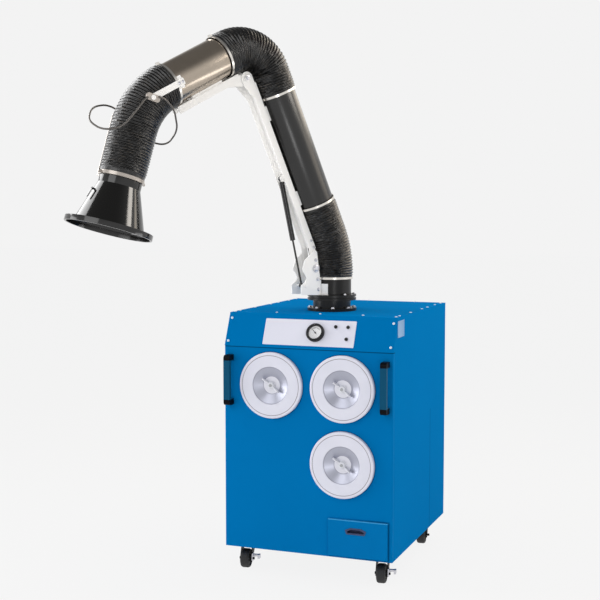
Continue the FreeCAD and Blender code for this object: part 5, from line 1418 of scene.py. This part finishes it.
@dataclass
class Arm:
    """The arm's three hoses, its tubes and hood, and its bolts."""

    base_top: float = 1057 * MM
    flange: float = 12 * MM
    collar_top: float = 1124.3 * MM
    bolt_circle: float = 91 * MM
    flange_bolt: Pair = (6.5 * MM, 6 * MM)
    bracket_bolt: Pair = (5.5 * MM, 5 * MM)
    shoulder_nut: Pair = (13 * MM, 6.5 * MM)
    elbow_nut: Pair = (7 * MM, 4 * MM)
    lower_tilt: float = math.radians(23.7)
    upper_drop: float = math.radians(27.7)
    hood_tilt: float = math.radians(16.2)
    base_bend: Pair = (0.0, 1294 * MM)
    lower_length: float = 929 * MM
    upper_length: float = 562 * MM
    base_run: Triple = (22 * MM, 85 * MM, 146 * MM)
    elbow_run: Triple = (95 * MM, 140 * MM, 49 * MM)
    hood_run: Triple = (12 * MM, 117 * MM, 178 * MM)
    cheek: float = 36 * MM
    cheek_bolts: tuple[Pair, ...] = (
        (97 * MM, 1191 * MM), (93 * MM, 1149 * MM), (107 * MM, 1269.5 * MM))
    shoulder_at: Pair = (105.46 * MM, 1235.69 * MM)
    elbow_at: Pair = (429.63 * MM, 1984.12 * MM)
    flange_side: float = 31 * MM
    link_screws: tuple[Pair, ...] = ((102 * MM, 94 * MM), (71.5 * MM, 94.5 * MM))
    fork_face: float = 93.5 * MM
    fork_screws: tuple[Pair, ...] = ((421.5 * MM, 0.0), (437 * MM, 0.0))
    duct: float = 80 * MM
    duct_wall: float = 1.6 * MM
    duct_edge: float = 0.5 * MM
    lower_tube: Pair = (207 * MM, 718 * MM)
    upper_tube: Pair = (165 * MM, 457 * MM)
    hood_neck: float = 77 * MM
    hood_wall: float = 2.5 * MM
    hood_edge: float = 0.8 * MM
    hood_levels: tuple[float, ...] = (267 * MM, 309.5 * MM, 337 * MM, 485 * MM, 505 * MM)
    hood_radii: Pair = (131 * MM, 165 * MM)
    hood_lip: float = 8 * MM
    hood_step: float = 6 * MM

    def build(self, palette: Palette) -> list[bpy.types.Object]:
        """Model and dress the pieces."""
        pieces = [part.build(palette) for part in (*self.hoses(), *self.sheet_work())]
        return pieces + self.fasteners(palette)

    def upper_lean(self) -> float:
        """Angle of the upper tube's axis from upright."""
        return math.pi / 2 + self.upper_drop

    def hood_lean(self) -> float:
        """Angle of the hood's axis from upright."""
        return math.pi - self.hood_tilt

    @staticmethod
    def ahead(foot: Pair, lean: float, along: float, across: float = 0.0) -> Pair:
        """Reach and height of a place along and across an axis that leans from its foot."""
        run, rise = math.sin(lean), math.cos(lean)
        return foot[0] + along * run + across * rise, foot[1] + along * rise - across * run

    def elbow_bend(self) -> Pair:
        """Reach and height where the tubes' axes meet."""
        return self.ahead(self.base_bend, self.lower_tilt, self.lower_length)

    def hood_bend(self) -> Pair:
        """Reach and height where the upper tube's and the hood's axes meet."""
        return self.ahead(self.elbow_bend(), self.upper_lean(), self.upper_length)

    def sheet_work(self) -> list[Turned]:
        """The two tubes and the hood."""
        inner = self.duct - self.duct_wall
        neck, shoulder, throat, flare, mouth = self.hood_levels
        cone, rim = self.hood_radii
        wall = self.hood_wall
        lip = rim - self.hood_lip

        def tube(start: float, end: float) -> list[Pair]:
            """Outline of a tube between two places along its axis."""
            return [(inner, start), (self.duct, start), (self.duct, end), (inner, end)]

        hood = [(self.hood_neck - wall, neck), (self.hood_neck, neck), (self.hood_neck, shoulder),
                (self.duct, shoulder), (self.duct, throat), (cone, flare), (rim, flare), (rim, mouth),
                (lip, mouth), (lip, flare + wall), (cone - wall, flare + wall), (self.duct - wall, throat),
                (self.hood_neck - wall, throat - self.hood_step)]
        return [
            Turned("tube_lower", "lower_tube", "lower_arm", Finish.GLOSS, self.base_bend, self.lower_tilt,
                   tube(*self.lower_tube), self.duct_edge),
            Turned("tube_upper", "upper_tube", "upper_arm", Finish.BRIGHT, self.elbow_bend(),
                   self.upper_lean(), tube(*self.upper_tube), self.duct_edge),
            Turned("hood_shell", "hood_cone", "hood", Finish.HOOD, self.hood_bend(), self.hood_lean(),
                   hood, self.hood_edge),
        ]

    def hoses(self) -> list[Hose]:
        """The hoses at the base, the elbow and the hood."""
        lower, upper, down = self.lower_tilt, self.upper_lean(), self.hood_lean()
        return [
            Hose("hose_base", "base_hose", ("swivel", "lower_arm"), self.base_bend, 0.0, lower,
                 *self.base_run, seed=11),
            Hose("hose_elbow", "elbow_hose", ("lower_arm", "upper_arm"), self.elbow_bend(), lower,
                 upper - lower, *self.elbow_run, seed=12),
            Hose("hose_hood", "hood_hose", ("upper_arm", "carrier"), self.hood_bend(), upper, down - upper,
                 *self.hood_run, seed=13),
        ]

    def ring_places(self, count: int, height: float, turn: float) -> list[tuple]:
        """Places of a ring of bolts round the swivel axis.

        Args:
            count: How many bolts the ring has.
            height: Height that they stand on.
            turn: Angle of the first from the arm's heading, in radians.

        Returns:
            Point, axis and spin of each place.
        """
        plane = ArmPlane()
        places = []
        for i in range(count):
            angle = turn + math.tau * i / count
            at = plane.point(self.bolt_circle * math.cos(angle), self.bolt_circle * math.sin(angle), height)
            places.append((at, Vector((0, 0, 1)), angle * 1.7))
        return places

    @staticmethod
    def paired(spots: Sequence[Pair], side: float, spin: float = 1.0) -> list[tuple]:
        """Places on both sides of the arm, facing outwards, spun by so many radians for a metre of reach."""
        plane = ArmPlane()
        return [(plane.point(reach, hand * side, height), plane.sideways() * hand, reach * spin)
                for reach, height in spots for hand in (-1, 1)]

    def fasteners(self, palette: Palette) -> list[bpy.types.Object]:
        """Bolts, nuts and screws from the flange on the cabinet up to the fork.

        Args:
            palette: The materials.

        Returns:
            The pieces.
        """
        kit = Fasteners()
        flange = self.ring_places(8, self.base_top + self.flange, 0.2)
        collar = self.ring_places(6, self.collar_top, 0.52)[1:]
        cheeks = self.paired(self.cheek_bolts, self.cheek, 9.0)
        shoulder = self.paired([self.shoulder_at], self.cheek)
        elbow = self.paired([self.elbow_at], self.cheek)
        link = [self.ahead(self.base_bend, self.lower_tilt, *spot) for spot in self.link_screws]
        fork = [self.ahead(self.elbow_bend(), self.upper_lean(), *spot) for spot in self.fork_screws]
        return [
            kit.fit(palette, "flange_bolts", "cabinet", kit.bolt(*self.flange_bolt), flange),
            kit.fit(palette, "collar_bolts", "swivel", kit.bolt(*self.bracket_bolt), collar),
            kit.fit(palette, "bracket_bolts", "swivel", kit.bolt(*self.bracket_bolt), cheeks),
            kit.fit(palette, "shoulder_nuts", "swivel", kit.bolt(*self.shoulder_nut), shoulder),
            kit.fit(palette, "elbow_nuts", "lower_arm", kit.bolt(*self.elbow_nut), elbow),
            kit.fit(palette, "link_screws", "lower_arm", kit.screw(), self.paired(link, self.flange_side)),
            kit.fit(palette, "fork_screws", "upper_arm", kit.screw(), self.paired(fork, self.fork_face)),
        ]


WHITE_LIGHT: Colour = (1.0, 1.0, 1.0)
WARM_LIGHT: Colour = (1.0, 0.94, 0.86)
AMBER_LIGHT: Colour = (1.0, 0.88, 0.72)


@dataclass(frozen=True)
class Lamp:
    """Soft area lamp.

    Attributes:
        name: The lamp's name.
        at: Where it stands.
        aim: What it points at.
        size: Its width and height in metres.
        power: Its power in watts.
        colour: Colour of its light.
    """

    name: str
    at: Triple
    aim: Triple
    size: Pair
    power: float
    colour: Colour = WHITE_LIGHT

    def hang(self) -> None:
        """Add the lamp to the scene."""
        data = bpy.data.lights.new(self.name, "AREA")
        data.shape = "RECTANGLE"
        data.size, data.size_y = self.size
        data.energy = self.power
        data.color = self.colour
        lamp = bpy.data.objects.new(self.name, data)
        lamp.visible_camera = False
        lamp.location = self.at
        lamp.rotation_euler = (Vector(self.aim) - Vector(self.at)).to_track_quat("-Z", "Y").to_euler()
        bpy.context.scene.collection.objects.link(lamp)


LAMPS = (
    Lamp("front", (-1.6, -4.6, 3.6), (0, -0.4, 0.9), (3.0, 3.0), 58.0),
    Lamp("left", (-2.0, -0.5, 2.4), (-0.6, -0.85, 1.4), (1.4, 1.0), 20.0),
    Lamp("edge", (-3.4, -1.7, 1.2), (-0.2, -0.5, 1.6), (1.4, 2.4), 34.0),
    Lamp("right", (2.7, 0.2, 3.1), (-0.7, -1.0, 1.4), (1.3, 0.8), 31.0, WARM_LIGHT),
    Lamp("side", (2.6, 1.1, 2.1), (-0.1, -0.3, 1.65), (1.6, 1.0), 8.0, AMBER_LIGHT),
    Lamp("low", (3.4, 0.7, 0.4), (-0.3, -0.6, 1.9), (2.0, 0.5), 8.0),
    Lamp("dish", (2.6, -4.0, 0.4), (0, -0.4, 0.7), (0.9, 0.7), 13.0),
    Lamp("back", (1.1, 2.1, 3.4), (-0.5, -0.8, 1.4), (2.6, 2.0), 48.0, AMBER_LIGHT),
)


@dataclass
class Studio:
    """Floor, soft lamps, pale surroundings and the camera."""

    backdrop: Colour = srgb(243, 243, 243)
    floor_size: float = 60.0
    floor_glow: float = 1.022
    floor_share: float = 0.95
    camera_at: Triple = (1.6485, -4.8126, 1.5009)
    camera_turn: Pair = (90 - 4.624, 20.854)
    lens: float = 72.0
    sensor: float = 36.0
    sky: float = 0.62
    overhead: float = 0.24

    def build(self) -> None:
        """Set the scene."""
        scene = bpy.context.scene
        scene.view_settings.view_transform = "Standard"
        self.camera(scene)
        self.floor()
        self.surroundings(scene)
        for lamp in LAMPS:
            lamp.hang()

    def camera(self, scene: bpy.types.Scene) -> None:
        """Camera at the viewing angle.

        Args:
            scene: The scene.
        """
        data = bpy.data.cameras.new("camera")
        data.lens = self.lens
        data.sensor_width = self.sensor
        eye = bpy.data.objects.new("camera", data)
        eye.location = self.camera_at
        eye.rotation_euler = (math.radians(self.camera_turn[0]), 0.0, math.radians(self.camera_turn[1]))
        scene.collection.objects.link(eye)
        scene.camera = eye

    def seen(self, paint: Paint) -> Sock:
        """One for rays from the camera, a reflection or a window."""
        path = [paint.node("ShaderNodeLightPath", output=name)
                for name in ("Is Camera Ray", "Is Glossy Ray", "Is Transmission Ray")]
        return sum(path) > 0.5

    def floor(self) -> None:
        """Wide pale floor that fades into the surroundings and keeps a soft shadow."""
        Bench.clear()
        bpy.ops.mesh.primitive_plane_add(size=self.floor_size, location=(0, 0, 0))
        floor = bpy.context.active_object
        floor.name = "floor"
        paint = Paint("floor_paper")
        mottle = paint.noise(paint.place(), 3.0)
        paper = paint.mix(mottle, shade(self.backdrop, 0.93), shade(self.backdrop, 0.95))
        lit = paint.node("ShaderNodeBsdfDiffuse", None, {"Color": paper})
        flat = paint.node("ShaderNodeEmission", None, {
            "Color": (*self.backdrop, 1.0), "Strength": self.floor_glow})
        share = self.seen(paint) * self.floor_share
        both = paint.node("ShaderNodeMixShader", None, {0: share, 1: lit, 2: flat})
        paint.node("ShaderNodeOutputMaterial", None, {"Surface": both})
        floor.data.materials.append(paint.material)

    def surroundings(self, scene: bpy.types.Scene) -> None:
        """Pale sky, darker overhead in reflections and dimmer where it only lights the machine.

        Args:
            scene: The scene.
        """
        paint = Paint("surroundings", True)
        scene.world = paint.material
        upward = paint.along(paint.node("ShaderNodeTexCoord", output="Generated"), (0, 0, 1))
        shown = 1 - (1 - self.overhead) * upward.step(0.2, 0.8)
        seen = self.seen(paint)
        back = paint.node("ShaderNodeBackground", None, {
            "Color": (*self.backdrop, 1.0), "Strength": self.sky * (1 - seen) + shown * seen})
        paint.node("ShaderNodeOutputWorld", None, {"Surface": back})


def main() -> None:
    """Dress the frame, build the pieces and set the scene."""
    logging.basicConfig(level=logging.INFO, format="%(name)s: %(message)s")
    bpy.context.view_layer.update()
    palette = Palette()
    for finish, nodes in NODE_FINISHES.items():
        for node in nodes:
            palette.dress_node(node, finish)
    for assembly in (Cabinet(), Covers(), Arm()):
        for piece in assembly.build(palette):
            LOG.info("%s: %d faces", piece.name, len(piece.data.polygons))
    Studio().build()


if __name__ == "__main__":
    main()
